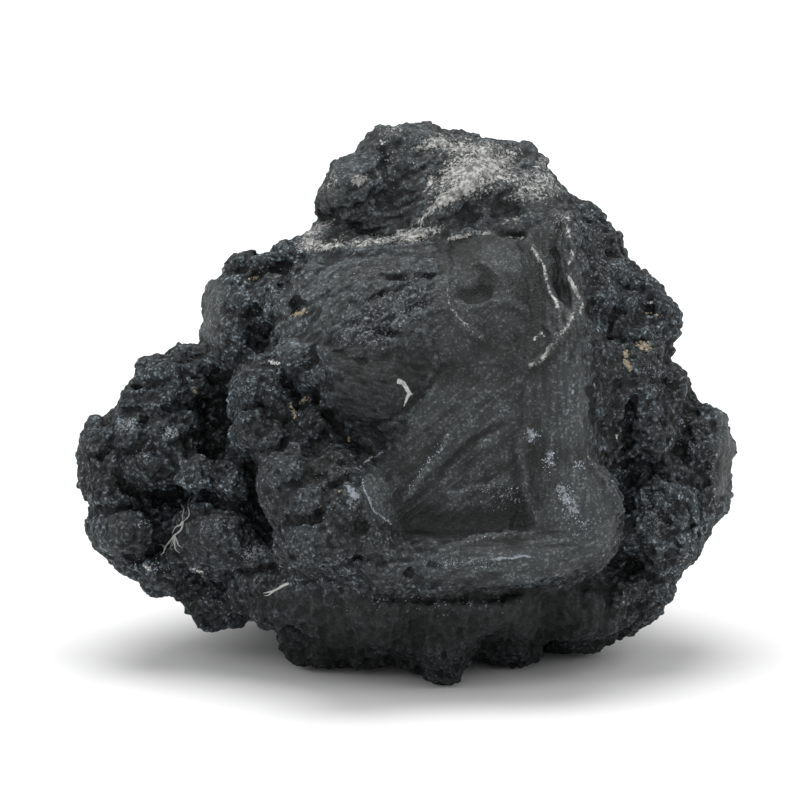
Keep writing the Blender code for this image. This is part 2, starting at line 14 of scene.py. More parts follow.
import bmesh
import bpy
import numpy as np
from bpy.props import FloatProperty, FloatVectorProperty, IntProperty, PointerProperty
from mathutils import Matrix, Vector

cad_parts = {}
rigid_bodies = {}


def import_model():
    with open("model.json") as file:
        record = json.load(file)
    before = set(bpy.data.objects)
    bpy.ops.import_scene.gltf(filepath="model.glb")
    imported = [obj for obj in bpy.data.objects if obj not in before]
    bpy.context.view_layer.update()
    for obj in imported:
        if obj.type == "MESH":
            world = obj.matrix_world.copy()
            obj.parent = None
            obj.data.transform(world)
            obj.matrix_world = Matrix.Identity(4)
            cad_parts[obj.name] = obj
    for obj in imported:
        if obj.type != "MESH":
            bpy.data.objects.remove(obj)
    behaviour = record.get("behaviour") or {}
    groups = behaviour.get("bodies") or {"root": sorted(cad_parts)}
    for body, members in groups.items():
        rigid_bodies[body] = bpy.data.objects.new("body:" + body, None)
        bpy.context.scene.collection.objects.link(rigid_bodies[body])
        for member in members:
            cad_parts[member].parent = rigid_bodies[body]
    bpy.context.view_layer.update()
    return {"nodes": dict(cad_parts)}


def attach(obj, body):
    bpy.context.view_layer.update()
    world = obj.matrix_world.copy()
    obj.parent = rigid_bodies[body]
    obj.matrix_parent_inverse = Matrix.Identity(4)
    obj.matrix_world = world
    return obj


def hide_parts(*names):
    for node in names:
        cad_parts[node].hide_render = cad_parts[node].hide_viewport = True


bl_info = {
    "name": "Black howlite nodule",
    "version": (1, 0, 0),
    "blender": (4, 5, 0),
    "location": "3D View > Sidebar > Howlite",
    "description": "Gives a howlite nodule its fine skin, dust and crumbs, and sets it on a white table",
    "category": "Add Mesh",
}

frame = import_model()
NODE = "howlite_nodule"

MM = 0.001
WELDED = 1e-6

# The stone's finish: sizes of its patterns and depths of its fine relief, in metres. Threads are counted in
# their own spacing
CLOUD_SIZE = 0.007
GRAIN_SIZE = 0.00042
WORN_GRAIN_SIZE = 0.00034
THREAD_SIZE = 0.4
SALT_SIZE = 0.0005
DUST_SIZE = 0.0009
SHEEN_SIZE = 0.0011
GRIT_DEPTH = 0.0003
THREAD_DEPTH = 0.00014
SPECULAR = 0.3
SELDOM_HIGH = 2.2

# How strongly each pattern lightens or darkens the stone: where it starts and ends, and by how much there
WORN_CLOUDS = (0.8, 1.15)
THREADED = (0.3, 0.75, 0.72, 1.4)
# Painted glints: the seldom lightest worn grains stand for tiny facets that catch the lamp
WORN_GRAINS_AND_GLINTS = (0.35, 1.0, 0.76, 2.3)
GRITTY = (0.36, 0.68, 0.4, 1.6)
# Painted glints: the seldom lightest rough grains stand for tiny facets that catch the lamp
GRAINS_AND_GLINTS = (0.3, 1.0, 0.6, 4.0)
# Painted shade in the gaps between grains, and painted highlight, with some wear, on their tops
PROUD_HIGHLIGHT_AND_GAP_SHADE = (-0.16, 0.16, 0.42, 1.9)
# Painted shade, darker in the skin's broad hollows
HOLLOW_SHADE = (-0.7, 0.15, 0.74, 1.05)
DUST_FLECKS = (0.35, 0.65, 0.42, 1.35)
ROUGH_SHEEN = (0.4, 0.62, 0.5, 0.75)
WORN_SHEEN = (0.4, 0.62, 0.4, 0.6)
POWDER_GAIN = 0.32
POWDER_COVERS = (0.62, 0.78)
POWDER_STARTS = (0.03, 0.25)

# The same for the pale things on it
STAIN_SIZE = 0.0004
PALE_SHEEN_SIZE = 0.0003
PALE_BUMP_SIZE = 0.0002
PALE_BUMP_DEPTH = 0.00004
PALE_SHADES = (0.0, 1.0, 0.6, 1.1)
STAINED = (0.35, 0.6, 0.6, 1.0)
DULLEST = 0.9

# Which sockets of a Mix node hold its two values and its result
MIX_SOCKETS = {"RGBA": (6, 7, 2), "FLOAT": (2, 3, 0)}

# The lamps: the setting that gives their strength, how broad they are in degrees, and where they stand
LAMPS = [
    ("broad_lamp", "lamp_power", 45, (-0.04, 0.09, 0.5)),
    ("left_lamp", "side_power", 50, (-0.4, -0.08, 0.31)),
    ("right_lamp", "side_power", 50, (0.4, -0.08, 0.31)),
]
TABLE_WHITE = 0.9

# The front view, and where the middle of the stone lies in the frame
VIEW_TILT = math.radians(12)
VIEW_DISTANCE = 900
MIDDLE = np.array([-1.3666, 0.7649, 43.1])
ACROSS = np.array([1, 0, 0])
UP = np.array([0, math.sin(VIEW_TILT), math.cos(VIEW_TILT)])
TOWARD = np.array([0, -math.cos(VIEW_TILT), math.sin(VIEW_TILT)])

# What the tables below hold: first how much, then where. Areas are closed outlines with blurred edges
Knobs = namedtuple("Knobs", "size height least salt front", defaults=(1,))
Lobe = namedtuple("Lobe", "across up wide high turn height")
Stroke = namedtuple("Stroke", "name height left right points")
Spot = namedtuple("Spot", "name height across up wide high turn", defaults=(0,))
Area = namedtuple("Area", "name amount blur points")
Trace = namedtuple("Trace", "name amount width points")
Combed = namedtuple("Combed", "name turn along across height blur points")
Strand = namedtuple("Strand", "wide thick points")
Cluster = namedtuple("Cluster", "name count size across up wide high turn", defaults=(0,))


def rows(kind, table):
    """The rows of a table, with a name for each of their numbers."""
    return [kind(*row) for row in table]


# How softly the skin turns from facing the viewer to facing away, and hides behind what is nearer
FACES_VIEWER = (0.05, 0.35)
EASED_FACES = (-0.1, 0.25)
HIDDEN_BEHIND = (3, 6)
VIEW_REACH = 80
VIEW_CELL = 0.8
FAR_OFF = 1e3

# The size of the waves in what is drawn on the skin, and how high they are for lobes and for creases
WAVE_SIZE = 2.6
LOBE_WAVES = 0.4
CREASE_WAVES = 0.35

# Knobs: how far they are stirred about, how uneven they are from place to place, and their middle level
STIR_SIZE = 1.5
STIR_REACH = 0.35
KNOB_PATCHES = 5
KNOB_RANGE = (0.75, 0.5)
KNOB_LEVEL = 0.55

# Creases: how they end, how sharp they are, and how ragged and how soft the pits are
CREASE_ENDS = (-0.05, 0.15)
CREASE_POWER = 1.4
PIT_RAGGED = 0.5
PIT_WAVES = 1.4
PIT_EDGE = (1.5, 1.2)

# Folds: the spacing away from the combed places, their middle level, and the slow and the crumbly unevenness
PLAIN_SPACING = 1.5
FOLD_LEVEL = 0.4
FOLD_STIR = (2.0, 0.35)
FAINTEST_FOLD = 0.02
SLOW_HEIGHT = 0.10
SLOW_SIZE = 3.5
CRUMBLED = 0.3
CRUMBLED_SIZE = 0.95

# Powder: how its patches and its lines waver, and how its lines break up
POWDER_WAVES = 3
POWDER_REACH = (0.9, 0.6)
LINE_WAVES = 1.5
LINE_REACH = 0.2
LINE_SOFTNESS = 0.9
LINE_BREAKS = 1.8
LINE_BROKEN = (0.6, 0.9)

# How the solid's facets are evened out at the start
START_SHARE = 0.5
START_TIMES = 8

# How many edges away the surroundings are that a grain, and a knob, stands out from
GRAIN_REACH = 10
KNOB_REACH = 60

# Strands: how many steps between their points, how far they lean to the viewer, and how they thin out
STRAND_STEPS = 6
STRAND_LEANS = 2
STRAND_BRIDGED = 6
STRAND_START = (-0.12, 0.1)
STRAND_THINS = 0.85

# Grains: how uneven their corners, their widths and their sizes are
CORNER_RANGE = (0.7, 1.25)
WIDTH_RANGE = (0.75, 1.35)
CLUSTER_RANGE = (0.6, 1.4)
LOOSE_RANGE = (0.5, 1.5)

# How flat the grains lie
TAN_FLATNESS = (0.5, 1.0)
PALE_FLATNESS = (0.4, 0.9)
GLINT_FLATNESS = (0.3, 0.7)

# Where the random numbers of the crumbs, the crystals and the loose grains start
CRUMB_SEED = 17
GLINT_SEED = 23
LOOSE_SEED = 29

# How far a grain's middle stands out of the skin, as a share of its radius
GRAIN_PROUD = 0.2

# Loose grains: places tried on each panel, the share kept where the dust and its painted highlights are full,
# and how it falls off
GRAIN_TRIES = 90000
GRAIN_SHARE = 0.35
GRAIN_POWER = 1.5

# The lobes that show in the front view: across, up, wide, high, turn and height of each
LOBES = {
    "left lobe": [
        (-40, 4.5, 7, 3.2, 12, 0.8), (-35.5, 6.2, 4, 2.4, 10, 0.7), (-41, 0.6, 6, 2.6, 8, 0.8),
        (-45.5, -0.6, 3.4, 2.2, 30, 0.6), (-50.4, -5.6, 3.1, 4, 0, 1.4), (-45.8, -5.2, 3, 3.3, 0, 1.1),
        (-39.6, -4.8, 3.6, 2.8, 0, 0.9), (-35.4, -3.4, 2.8, 2.6, 0, 0.8), (-34, -7.8, 1.8, 1.9, 0, 0.7),
        (-38, -9, 2.6, 1.8, 0, 0.6), (-42, -12, 4.8, 3.8, 0, 1.2), (-49.4, -12.4, 3.8, 3.4, 0, 0.9),
        (-49, -16.6, 4, 2.2, 0, 0.7), (-46.2, -22, 5.8, 4, 0, 1.7), (-47.4, -27, 4.4, 2.2, -35, 0.8),
        (-41.8, -27.6, 3.4, 2, -10, 0.8), (-42.5, -30.6, 3.4, 1.8, -20, 0.6), (-37.4, -30.2, 4, 2.4, -15, 0.8),
        (-33.9, -12.3, 3.3, 2.6, 10, 2.0), (-27.9, -13.6, 2.8, 3.3, 0, 1.3), (-26.4, -18, 2.2, 1.9, 0, 0.8),
        (-30, -10.2, 2.2, 1.5, 0, 0.8), (-29.6, -22.4, 6.4, 3.6, 0, 1.6), (-34, -25.6, 3.6, 3.2, 0, 1.2),
        (-24.4, -23.6, 3.2, 2.4, -30, 1.0), (-27.4, -26.6, 3.6, 1.7, 0, 0.9), (-38.2, -25.8, 2.4, 2.2, 0, 0.7),
        (-32.2, 2.2, 1.8, 1.5, 0, 0.8), (-31.6, -29, 3.2, 1.5, -20, 0.7), (-22.6, -30.4, 5, 1.9, 0, 0.7),
    ],
    "cheek": [
        (-22.6, 3.2, 5.2, 4.9, 0, 1.8), (-23.4, -4.6, 4, 3.9, 0, 1.6), (-20, -1.6, 2.6, 2.2, 0, 1.0),
        (-20.4, -6, 2, 2.1, 0, 0.9), (-22.4, 7.4, 2.4, 1.3, 10, 0.8), (-14.8, -3.5, 3.3, 2.7, 0, 1.6),
        (-17.4, 7, 3.2, 3, 0, 1.5), (-14.6, 3.6, 2.4, 2.3, 0, 1.1), (-17, 2, 1.6, 1.3, 0, 0.7),
        (-11.8, 0.3, 1.7, 1.6, 0, 1.1), (-12.8, 7.8, 2.2, 1.8, 0, 0.8), (-9.6, 5.4, 2.4, 1.8, 0, 0.7),
        (-12, 4.4, 1.6, 1.5, 0, 0.6), (-8.6, 8.6, 2.4, 1.7, 0, 0.6), (-4, 8.5, 3, 1.6, 0, 0.6),
        (-9.4, 2.6, 1.9, 1.5, 0, 0.5), (-24.6, 0.6, 1.9, 1.6, 0, 0.6),
    ],
    "shoulder": [
        (-24.6, 23.9, 4.4, 1.9, 5, 1.1), (-19.8, 24.8, 2.7, 1.7, 0, 1.1), (-16.8, 25.2, 1.3, 1.1, 0, 0.7),
        (-29.2, 22, 1.9, 1.8, 0, 0.8), (-28.2, 19.7, 1.6, 1.4, 0, 0.7), (-21.4, 19, 2.9, 2, 0, 1.3),
        (-17.2, 20.4, 2.6, 1.8, 10, 1.0), (-20, 15.4, 2.4, 2.2, 0, 1.1), (-23.4, 16.9, 2, 1.8, 0, 0.9),
        (-26.3, 16.8, 1.8, 2.3, 0, 0.8), (-20.6, 12.4, 2.1, 1.8, 0, 0.9), (-27.6, 12, 2.4, 1.9, 0, 0.9),
        (-24.6, 9.2, 2.3, 1.3, 0, 0.8), (-17.4, 12.6, 3.2, 1.7, 30, 0.6), (-14.6, 17.4, 3, 1.5, 30, 0.5),
        (-15.6, 22.6, 2.8, 1.3, 20, 0.5),
    ],
    "brow": [
        (-7.2, 14.6, 3.8, 1.6, 30, 0.8), (-1.2, 15, 3.2, 1.4, 25, 0.8), (1.6, 17.6, 3, 1.6, 25, 0.8),
        (-6, 18.3, 3.8, 1.1, 30, 0.5), (-12, 13.4, 3.6, 1.6, 33, 0.7), (-9.4, 11.4, 2.8, 1.5, 20, 0.7),
        (-4.2, 12.9, 1.8, 1.3, 0, 0.7), (0.6, 12.6, 2.4, 1.2, 10, 0.6), (-1.4, 19.3, 3.4, 1.0, 22, 0.5),
        (-1.6, 9.9, 2.8, 1.0, -5, 0.6), (-6.4, 9.9, 1.8, 1.1, 0, 0.5), (-10.6, 16.2, 3, 1.1, 33, 0.5),
    ],
    "crown": [
        (-8.4, 38.6, 4.2, 3.2, 30, 1.0), (-11.6, 33.6, 2.9, 2.6, 0, 0.8), (-1.3, 44.3, 2.7, 2, 0, 1.2),
        (3.6, 44.2, 2.4, 1.6, 0, 0.6), (8, 43.4, 3, 1.5, 0, 0.5), (14.6, 42.7, 3.8, 1.9, 0, 0.8),
        (20.4, 41, 2.8, 2.2, -20, 0.8), (24.4, 38.4, 2.4, 2.6, 0, 0.8), (-5.8, 41.4, 2.8, 1.5, 30, 0.6),
        (1.8, 38.6, 4, 3.6, 0, 0.7), (1.6, 32.6, 3.4, 2, 15, 0.6), (10.6, 39.4, 4.2, 2.8, 10, 0.5),
        (17.6, 36.6, 3.8, 1.8, 20, 0.5), (23.4, 34.6, 2.6, 2.4, 0, 0.6), (-6.4, 33, 2.6, 1.7, 0, 0.5),
    ],
    "right top": [
        (31.4, 30.6, 3, 1.9, -20, 1.0), (30.7, 27.6, 2.2, 2.2, 0, 0.9), (35.4, 27, 2.5, 2.4, 0, 1.1),
        (33, 25.4, 1.9, 1.7, 0, 0.8), (32.2, 22.7, 2.1, 1.6, 0, 0.8), (36.6, 22.2, 2.6, 2, -20, 1.1),
        (38.4, 19.8, 2.5, 1.5, 25, 0.8), (33.6, 18, 2.8, 4.2, 0, 0.9), (42, 19.1, 2.5, 1.9, -30, 1.0),
        (38.7, 16.6, 2.4, 1.9, 0, 1.1), (43.6, 16.3, 2.6, 1.6, 0, 1.0), (42, 12.8, 3, 1.9, 0, 1.2),
        (45.2, 11.6, 1.8, 2.1, 0, 0.8), (37.4, 12.6, 1.7, 1.9, 0, 0.8), (44, 8.4, 2.3, 1.7, 0, 0.9),
        (40.4, 6.5, 2.6, 2, 0, 1.1), (44.2, 4.6, 2.7, 1.7, -15, 1.0), (47, 3.8, 1.6, 2, 0, 0.8),
        (41.8, 1.8, 2.7, 1.7, 0, 1.0), (46.4, 0.6, 1.8, 1.7, 0, 0.8), (35.2, 8.2, 1.8, 1.8, 0, 0.4),
    ],
    "right side": [
        (42, -2.1, 3.2, 1.9, 10, 1.2), (43, -6, 3.4, 2.6, 20, 1.4), (39.9, -4.6, 1.6, 1.6, 0, 0.7),
        (45.8, -2.2, 1.6, 1.8, 0, 0.8), (51.4, -2.9, 3.2, 2.1, 0, 1.1), (50.4, -8.2, 2.6, 2.3, 0, 1.1),
        (46.4, -11, 3.4, 1.9, -20, 1.3), (50.2, -12.2, 1.9, 1.8, 0, 0.8), (36.2, -7.8, 1.9, 1.7, 0, 0.9),
        (34, -7.4, 1.4, 1.5, 0, 0.6), (38.6, -8.6, 1.5, 1.2, 0, 0.7), (34.8, -1.8, 1.9, 3.4, 0, 0.5),
    ],
    "fan": [
        (40.4, -15.8, 2.7, 2.3, 0, 1.0), (44.4, -16.2, 2.8, 2.2, -20, 1.0), (48.8, -16.8, 2.6, 1.6, -30, 0.8),
        (49.4, -19.2, 1.6, 2.2, 40, 0.7), (40.6, -20, 2.8, 2.1, 0, 1.0), (45, -20.4, 2.5, 2.4, 0, 1.0),
        (42.6, -24.2, 3.2, 2.1, 0, 1.2), (46.9, -23.6, 1.7, 2.3, 0, 0.9), (38.9, -23.6, 1.7, 1.8, 0, 0.8),
        (41.6, -28, 2.8, 1.7, 10, 1.0), (45.2, -27.8, 2, 1.6, 30, 0.8), (40.2, -31.4, 2.8, 1.7, 0, 1.0),
        (43.6, -31.8, 2.2, 2.2, 30, 0.8), (36.2, -32.8, 2.1, 2, 0, 1.2), (33.6, -28.4, 2.2, 1.5, 0, 1.0),
        (30.4, -33.4, 3.2, 2.2, 0, 0.7), (41.6, -35.4, 2.8, 1.4, 10, 0.7), (31, -38, 2.3, 2.1, 0, 1.2),
        (38.4, -37.4, 1.8, 1.6, 0, 1.0), (34.8, -38.4, 1.7, 1.9, 0, 0.9), (26.8, -40.4, 2.8, 1.7, 0, 0.8),
    ],
    "belly": [
        (-18, -11.6, 6.2, 4, 25, 1.5), (-15.8, -16.8, 4.3, 2.8, 5, 1.3), (-22.2, -14, 1.9, 2.8, 0, 0.9),
        (-21, -18.8, 2, 3, 35, 0.8), (-13, -23.8, 6, 3.6, -18, 1.5), (-10.2, -12.2, 3.2, 1.5, 20, 0.8),
        (-9.2, -16.6, 2.7, 2.5, 0, 0.7), (-16.6, -7.4, 4, 1.5, 28, 0.9), (-12.4, -8.6, 3, 1.5, 10, 0.7),
        (-4.4, -23.4, 2.7, 2.1, 0, 0.6), (-1.6, -28.4, 2.6, 1.3, 0, 0.6), (-5.6, -28.2, 2.2, 1.3, 0, 0.6),
    ],
}

# Cauliflower knobs, from large to small: each size stands on the one before it
KNOBS = rows(Knobs, [
    (4.8, 2.2, 0.5, 11, 0.25),
    (2.3, 1.0, 0.45, 23),
    (1.25, 0.68, 0.4, 37),
    (0.8, 0.42, 0.4, 53),
])

# Creases and crests that are too fine for the stone's own solid
STROKES = rows(Stroke, [
    ("crown line", -1.6, 0.7, 1.1, [(-14, 30.4), (-12, 30.2), (-9, 29.8), (-7, 29), (-3, 28), (0, 26.6)]),
    ("crown notch", -1.2, 0.7, 0.7, [(-14.6, 31.2), (-12.6, 30.8), (-10, 31.2), (-8.6, 32)]),
    ("crown crescent", -0.9, 1.2, 1.0, [(-11.6, 27.2), (-9, 28.4), (-6, 28.4), (-3, 27.4)]),
    ("crown fold 1", -1.0, 0.9, 1.4, [(-7.6, 35), (-6, 37), (-4.6, 37.8), (-3.2, 37.4)]),
    ("crown fold 2", -1.0, 1.2, 0.8, [(-3.4, 42.4), (-2.6, 40), (-2.6, 38), (-1.8, 36.4), (0, 35.8)]),
    ("crown fold 3", -0.9, 0.8, 0.8, [(-9, 31.4), (-5, 32.6), (-1, 32), (2, 33.2), (5, 34.2)]),
    ("crown fold 4", -0.8, 0.8, 0.8, [(12, 41.4), (14, 40.2), (16.4, 41), (18, 42.4)]),
    ("crown fold 5", -0.9, 0.8, 0.8, [(17, 38.4), (19, 39.4), (20, 41), (22, 41.4)]),
    ("shelf edge", 0.8, 0.5, 1.6, [(-16, 24.6), (-10, 25.2), (-4, 25.5), (2, 25.8), (6.5, 26.3)]),
    ("shelf under", -1.1, 0.6, 0.9, [(-13.6, 22.8), (-10.6, 24), (-7, 24.4), (-3, 24.7), (2, 24.5)]),
    ("shelf crest", 1.1, 0.8, 1.0, [(7, 26.4), (9, 27.2), (12, 27.9), (15, 27.9)]),
    ("shelf crest right", 0.8, 0.8, 0.8, [(16.3, 28.6), (18, 29.8), (19.8, 30.3)]),
    ("crest cut", -1.3, 0.6, 0.7, [(15.8, 28), (17.6, 27.9), (19.4, 27.9), (21, 27.4)]),
    ("drape 1", 1.1, 0.8, 0.5, [
        (21.3, 26.8), (22.5, 24.5), (23.6, 22.5), (24.4, 20), (25, 18.3), (26, 16.4), (26.6, 15),
    ]),
    ("drape groove", -1.9, 1.2, 1.3, [(25, 26), (25.7, 23), (26.2, 20.4), (27.4, 17.6), (28.2, 15.6)]),
    ("drape 2", 1.2, 0.6, 0.7, [
        (28, 31), (28.2, 27), (28.8, 24.2), (28, 22.3), (28.4, 20), (29, 18), (30.2, 16.5), (29.9, 13),
    ]),
    ("drape 3", 0.9, 0.8, 0.7, [(28.7, 14.5), (27.6, 12), (26.5, 10.3), (24.5, 7.6), (21, 5.3)]),
    ("drape fold", -0.6, 0.6, 0.8, [(30, 12.6), (29, 9), (28, 5.4)]),
    ("almond rim", 0.7, 0.6, 0.5, [(11, 22), (13.5, 23.2), (15.5, 21.5), (17, 19.8), (18, 17.3)]),
    ("almond foot", 0.6, 0.6, 0.9, [(9.3, 16.2), (12, 15.8), (15, 16.4), (19, 16), (21.5, 13.6)]),
    ("fine line", 0.55, 0.5, 0.5, [(7.8, 18.5), (8.2, 16), (9, 14.4), (11, 12.3), (14, 10.2)]),
    ("brow cut", -1.2, 0.5, 0.6, [(-4, 20.6), (0, 20.8), (3, 21), (5.6, 21.4), (7.4, 22)]),
    ("brow cut 2", -1.0, 0.5, 0.5, [(-6.6, 16.4), (-4, 17.4), (-1, 18.6), (1.4, 18.9)]),
    ("brow cut 3", -0.9, 0.5, 0.5, [(-9.6, 13), (-7, 13), (-4.6, 14.2), (-1, 14)]),
    ("brow cut 4", -0.9, 0.5, 0.5, [(-15.4, 20.9), (-13.4, 21.6), (-11.8, 23)]),
    ("brow edge", 0.6, 0.8, 0.5, [(-4, 21), (0, 21.5), (4, 21.4)]),
    ("column edge", 0.5, 0.8, 1.5, [(20.6, -5), (20.6, -12), (21.4, -17), (23.6, -20.6)]),
    ("rim edge", 0.9, 0.7, 0.8, [(23, -22.2), (19, -22.4), (15, -22.8), (10, -24), (6, -24.8)]),
    ("column side", 0.6, 1.2, 0.6, [(31.5, -9), (33, -12), (35.5, -15.5), (37, -19), (37, -22)]),
    ("rim foot", 0.8, 1.2, 0.6, [(-6, -30.3), (0, -31), (5, -31.5), (15, -30.5), (25, -29.5)]),
    ("undercut", -1.6, 0.9, 0.8, [
        (-6, -32.6), (-2, -33.4), (4, -33.6), (10, -33.3), (17, -32.9), (24, -31.4),
    ]),
    ("panel ridge", 0.5, 1.2, 0.9, [(1, -16.5), (2.6, -14), (4, -12), (6, -9.4), (9, -5.5)]),
    ("panel fold", -0.5, 1.2, 1.2, [(5, -13.6), (9, -9.6), (14, -5.6), (19, -3)]),
    ("panel step", 0.4, 0.7, 0.9, [(7, -15), (9.6, -15.6), (12, -14.6), (15, -14), (19, -13)]),
    ("nose crack", -1.6, 0.5, 0.6, [(5.6, 3.4), (3.4, 0.8), (1, -1.6), (-2, -3.4), (-5, -4.4)]),
    ("nose drop", -0.8, 0.5, 0.5, [(1.6, -1.6), (0.9, -3.6), (0.6, -6)]),
    ("nose fold", -1.8, 0.8, 0.8, [
        (-13.6, 0.6), (-12.8, -1.6), (-11.4, -3.4), (-9.6, -5.6), (-7.4, -7.4), (-4, -8.4),
    ]),
    ("nose rim", 0.6, 0.5, 0.4, [(1.4, 2), (2.6, 2.9), (4.2, 2.7), (5, 1.7)]),
    ("nose grain 1", -0.5, 0.5, 0.5, [(-8, 3), (-5, 2.6), (-3, 2.9), (-1, 3.4)]),
    ("nose grain 2", -0.5, 0.5, 0.5, [(-7, -1.4), (-5, -1.2), (-3.4, -1.8)]),
    ("belly fold", -1.6, 0.8, 0.8, [
        (-19, -20.8), (-16, -20.4), (-13.6, -19.8), (-12.4, -17.4), (-11.8, -14.6), (-9.4, -13.2),
        (-7.4, -12.2),
    ]),
    ("belly break", -1.2, 0.7, 0.7, [(-23.4, -14.8), (-21, -15), (-19.4, -14), (-17, -13.8), (-14.5, -14.8)]),
    ("belly rim", -0.9, 0.7, 0.7, [(-14, -10.4), (-11, -10.6), (-8, -10.6), (-6, -11.4)]),
    ("belly foot", -1.3, 0.7, 0.7, [(-10, -27), (-7, -26.6), (-4, -26.2), (-1, -26.8), (3, -26.6)]),
    ("cheek crevice", -2.2, 0.9, 0.8, [(-20, 5.2), (-19.2, 3.6), (-18, 1.6), (-17.2, -0.2), (-17.6, -2)]),
    ("cheek crevice 2", -1.6, 0.7, 0.7, [(-14.6, 1.4), (-13.8, -0.4), (-12.4, -2.4), (-11.2, -4.4)]),
    ("ball crevice", -1.8, 0.9, 0.9, [(-25.6, -8.4), (-23.2, -8.6), (-21, -8.4), (-19, -6.8), (-18, -4.8)]),
    ("ball notch", -1.4, 0.7, 0.7, [(-28, -1.6), (-25.6, -1.2), (-23.5, -0.9), (-21.5, -1.6)]),
    ("lobe ball", -1.5, 0.8, 0.8, [(-50, -1.8), (-48.3, -4.2), (-48, -7.4), (-50, -9.6), (-53, -9.6)]),
    ("lobe knob", -1.2, 0.8, 0.8, [(-48, -8), (-46, -8.9), (-43.6, -8), (-42.6, -5), (-43.4, -2)]),
    ("lobe fold 1", -0.9, 0.6, 0.6, [(-46.4, 1.6), (-43, 2.8), (-39, 2.6), (-35.6, 3.6)]),
    ("lobe fold 2", -0.9, 0.6, 0.6, [(-44.4, 5), (-41, 6.4), (-37.4, 7.2), (-33.6, 6.8)]),
    ("lobe fold 3", -0.9, 0.6, 0.6, [(-45.6, -1.6), (-42, -2), (-38, -1.6), (-34, -1)]),
    ("lobe bulge", -1.2, 0.8, 0.8, [(-46.6, -9.6), (-46.9, -12.5), (-45.6, -15), (-42, -16.4)]),
    ("lobe bulge top", -1.0, 0.7, 0.7, [(-45, -9), (-41.6, -8), (-38, -10), (-37.2, -13)]),
    ("low ball", -1.7, 0.8, 1.0, [
        (-52, -19), (-49, -17.9), (-45, -17.6), (-42, -18.4), (-40.3, -21), (-40.6, -24.6), (-43, -26.4),
        (-47, -26.2),
    ]),
    ("low dark", -2.2, 1.2, 1.4, [(-41.6, -15.8), (-38, -16), (-34.6, -16), (-31.4, -16), (-29.8, -17.8)]),
    ("inner drop", -1.6, 1.0, 1.0, [(-41, -18), (-39.4, -19.6), (-38.8, -22.4), (-39.2, -24.8)]),
    ("inner crease", -1.8, 0.7, 0.8, [
        (-29.4, -29.6), (-27.4, -28.8), (-24, -28), (-21.4, -27.4), (-19.4, -26.4),
    ]),
    ("inner crease 2", -1.2, 0.8, 0.8, [(-24.6, -19.4), (-22.6, -22.4), (-21, -24.2), (-19.4, -25.8)]),
    ("keel crease", -1.2, 0.8, 0.8, [(-41, -29), (-38, -28), (-35, -28.8), (-32.4, -30.8), (-29, -31.4)]),
    ("fan rib 1", 0.7, 0.6, 0.9, [(40, -13.5), (43, -16.4), (45.4, -19.6), (46.8, -21), (47.6, -25)]),
    ("fan rib 2", 0.6, 0.7, 0.8, [(39.5, -14), (41.4, -18), (42.4, -22), (43, -28)]),
    ("fan rib 3", 0.6, 0.7, 0.8, [(42, -13.8), (46, -15.6), (48.4, -18), (50, -20.4)]),
    ("fan groove", -1.1, 0.6, 0.6, [(46.4, -15.6), (47.6, -18), (48.6, -20.4), (48.4, -22.6)]),
    ("fan edge", 1.0, 1.2, 0.6, [(52.3, -15), (51.6, -18), (50.5, -20.4), (48.5, -25), (46.6, -27.6)]),
    ("fan top", -2.0, 0.9, 0.7, [(41.6, -12.3), (44.6, -13), (47.4, -13.8), (50.6, -14.8)]),
    ("fan foot", -1.3, 0.7, 0.7, [(40.6, -29.6), (43, -28.6), (45.6, -27), (47, -26.4)]),
    ("low loop", 0.8, 0.8, 0.6, [(36, -31.5), (37.6, -32.6), (37.4, -34), (35.4, -35)]),
    ("low crease", -1.2, 0.7, 0.7, [(33, -35.8), (36, -35.6), (39, -34.6), (42, -34.2)]),
    ("right crevice", -1.5, 0.9, 0.9, [
        (36.6, 15.6), (35.4, 13.2), (35.2, 11), (37, 10.2), (40.4, 10.2), (41.4, 9.4),
    ]),
    ("right cut 1", -1.3, 0.7, 0.7, [(41, 14.4), (43, 14.4), (45.4, 13.6)]),
    ("right cut 2", -1.2, 0.7, 0.7, [(37, 18.6), (39.6, 18.2), (41.4, 17.2), (42, 15.4), (40, 15)]),
    ("right cut 3", -1.2, 0.7, 0.7, [(34.2, 24.6), (35.4, 24), (36.6, 23.8)]),
    ("right cut 4", -1.1, 0.7, 0.7, [(41.4, 3.2), (43.2, 3), (46, 2.4), (47.6, 3)]),
    ("right cut 5", -1.2, 0.7, 0.7, [(42.4, 7), (44.4, 6.6), (46.6, 6.2)]),
    ("right cut 6", -1.0, 0.7, 0.7, [(29.6, 31.2), (31, 30.8), (32, 29.6)]),
    ("right drop", -2.2, 1.1, 0.9, [(40, 0), (38.6, -1.4), (38, -4.4), (38.2, -7.6), (36.4, -10)]),
    ("side gap", -2.4, 1.2, 1.1, [(33.6, -10.8), (36.4, -11.3), (40, -11), (43.4, -11.4)]),
    ("side drop", -1.8, 0.9, 0.9, [(35.4, -12.6), (36.8, -14.6), (37.4, -16.8), (38, -19)]),
    ("side notch", -2.2, 1.0, 1.0, [(48, -3.8), (47.4, -5.6), (46.6, -7.8), (46, -9)]),
    ("side notch 2", -1.4, 0.7, 0.7, [(47.6, -5.4), (49.2, -5.8), (50.8, -6)]),
    ("side cut", -1.2, 0.7, 0.7, [(40.4, -3.6), (42.4, -3.8), (44.6, -3.6)]),
    ("side seam", -1.0, 0.6, 0.6, [(31.9, 3), (32.3, 0), (32, -2.6), (32.8, -5.4)]),
    ("wall edge", 0.7, 0.6, 1.0, [(53.4, -2), (52.7, -8), (51.8, -12), (52.2, -15)]),
])

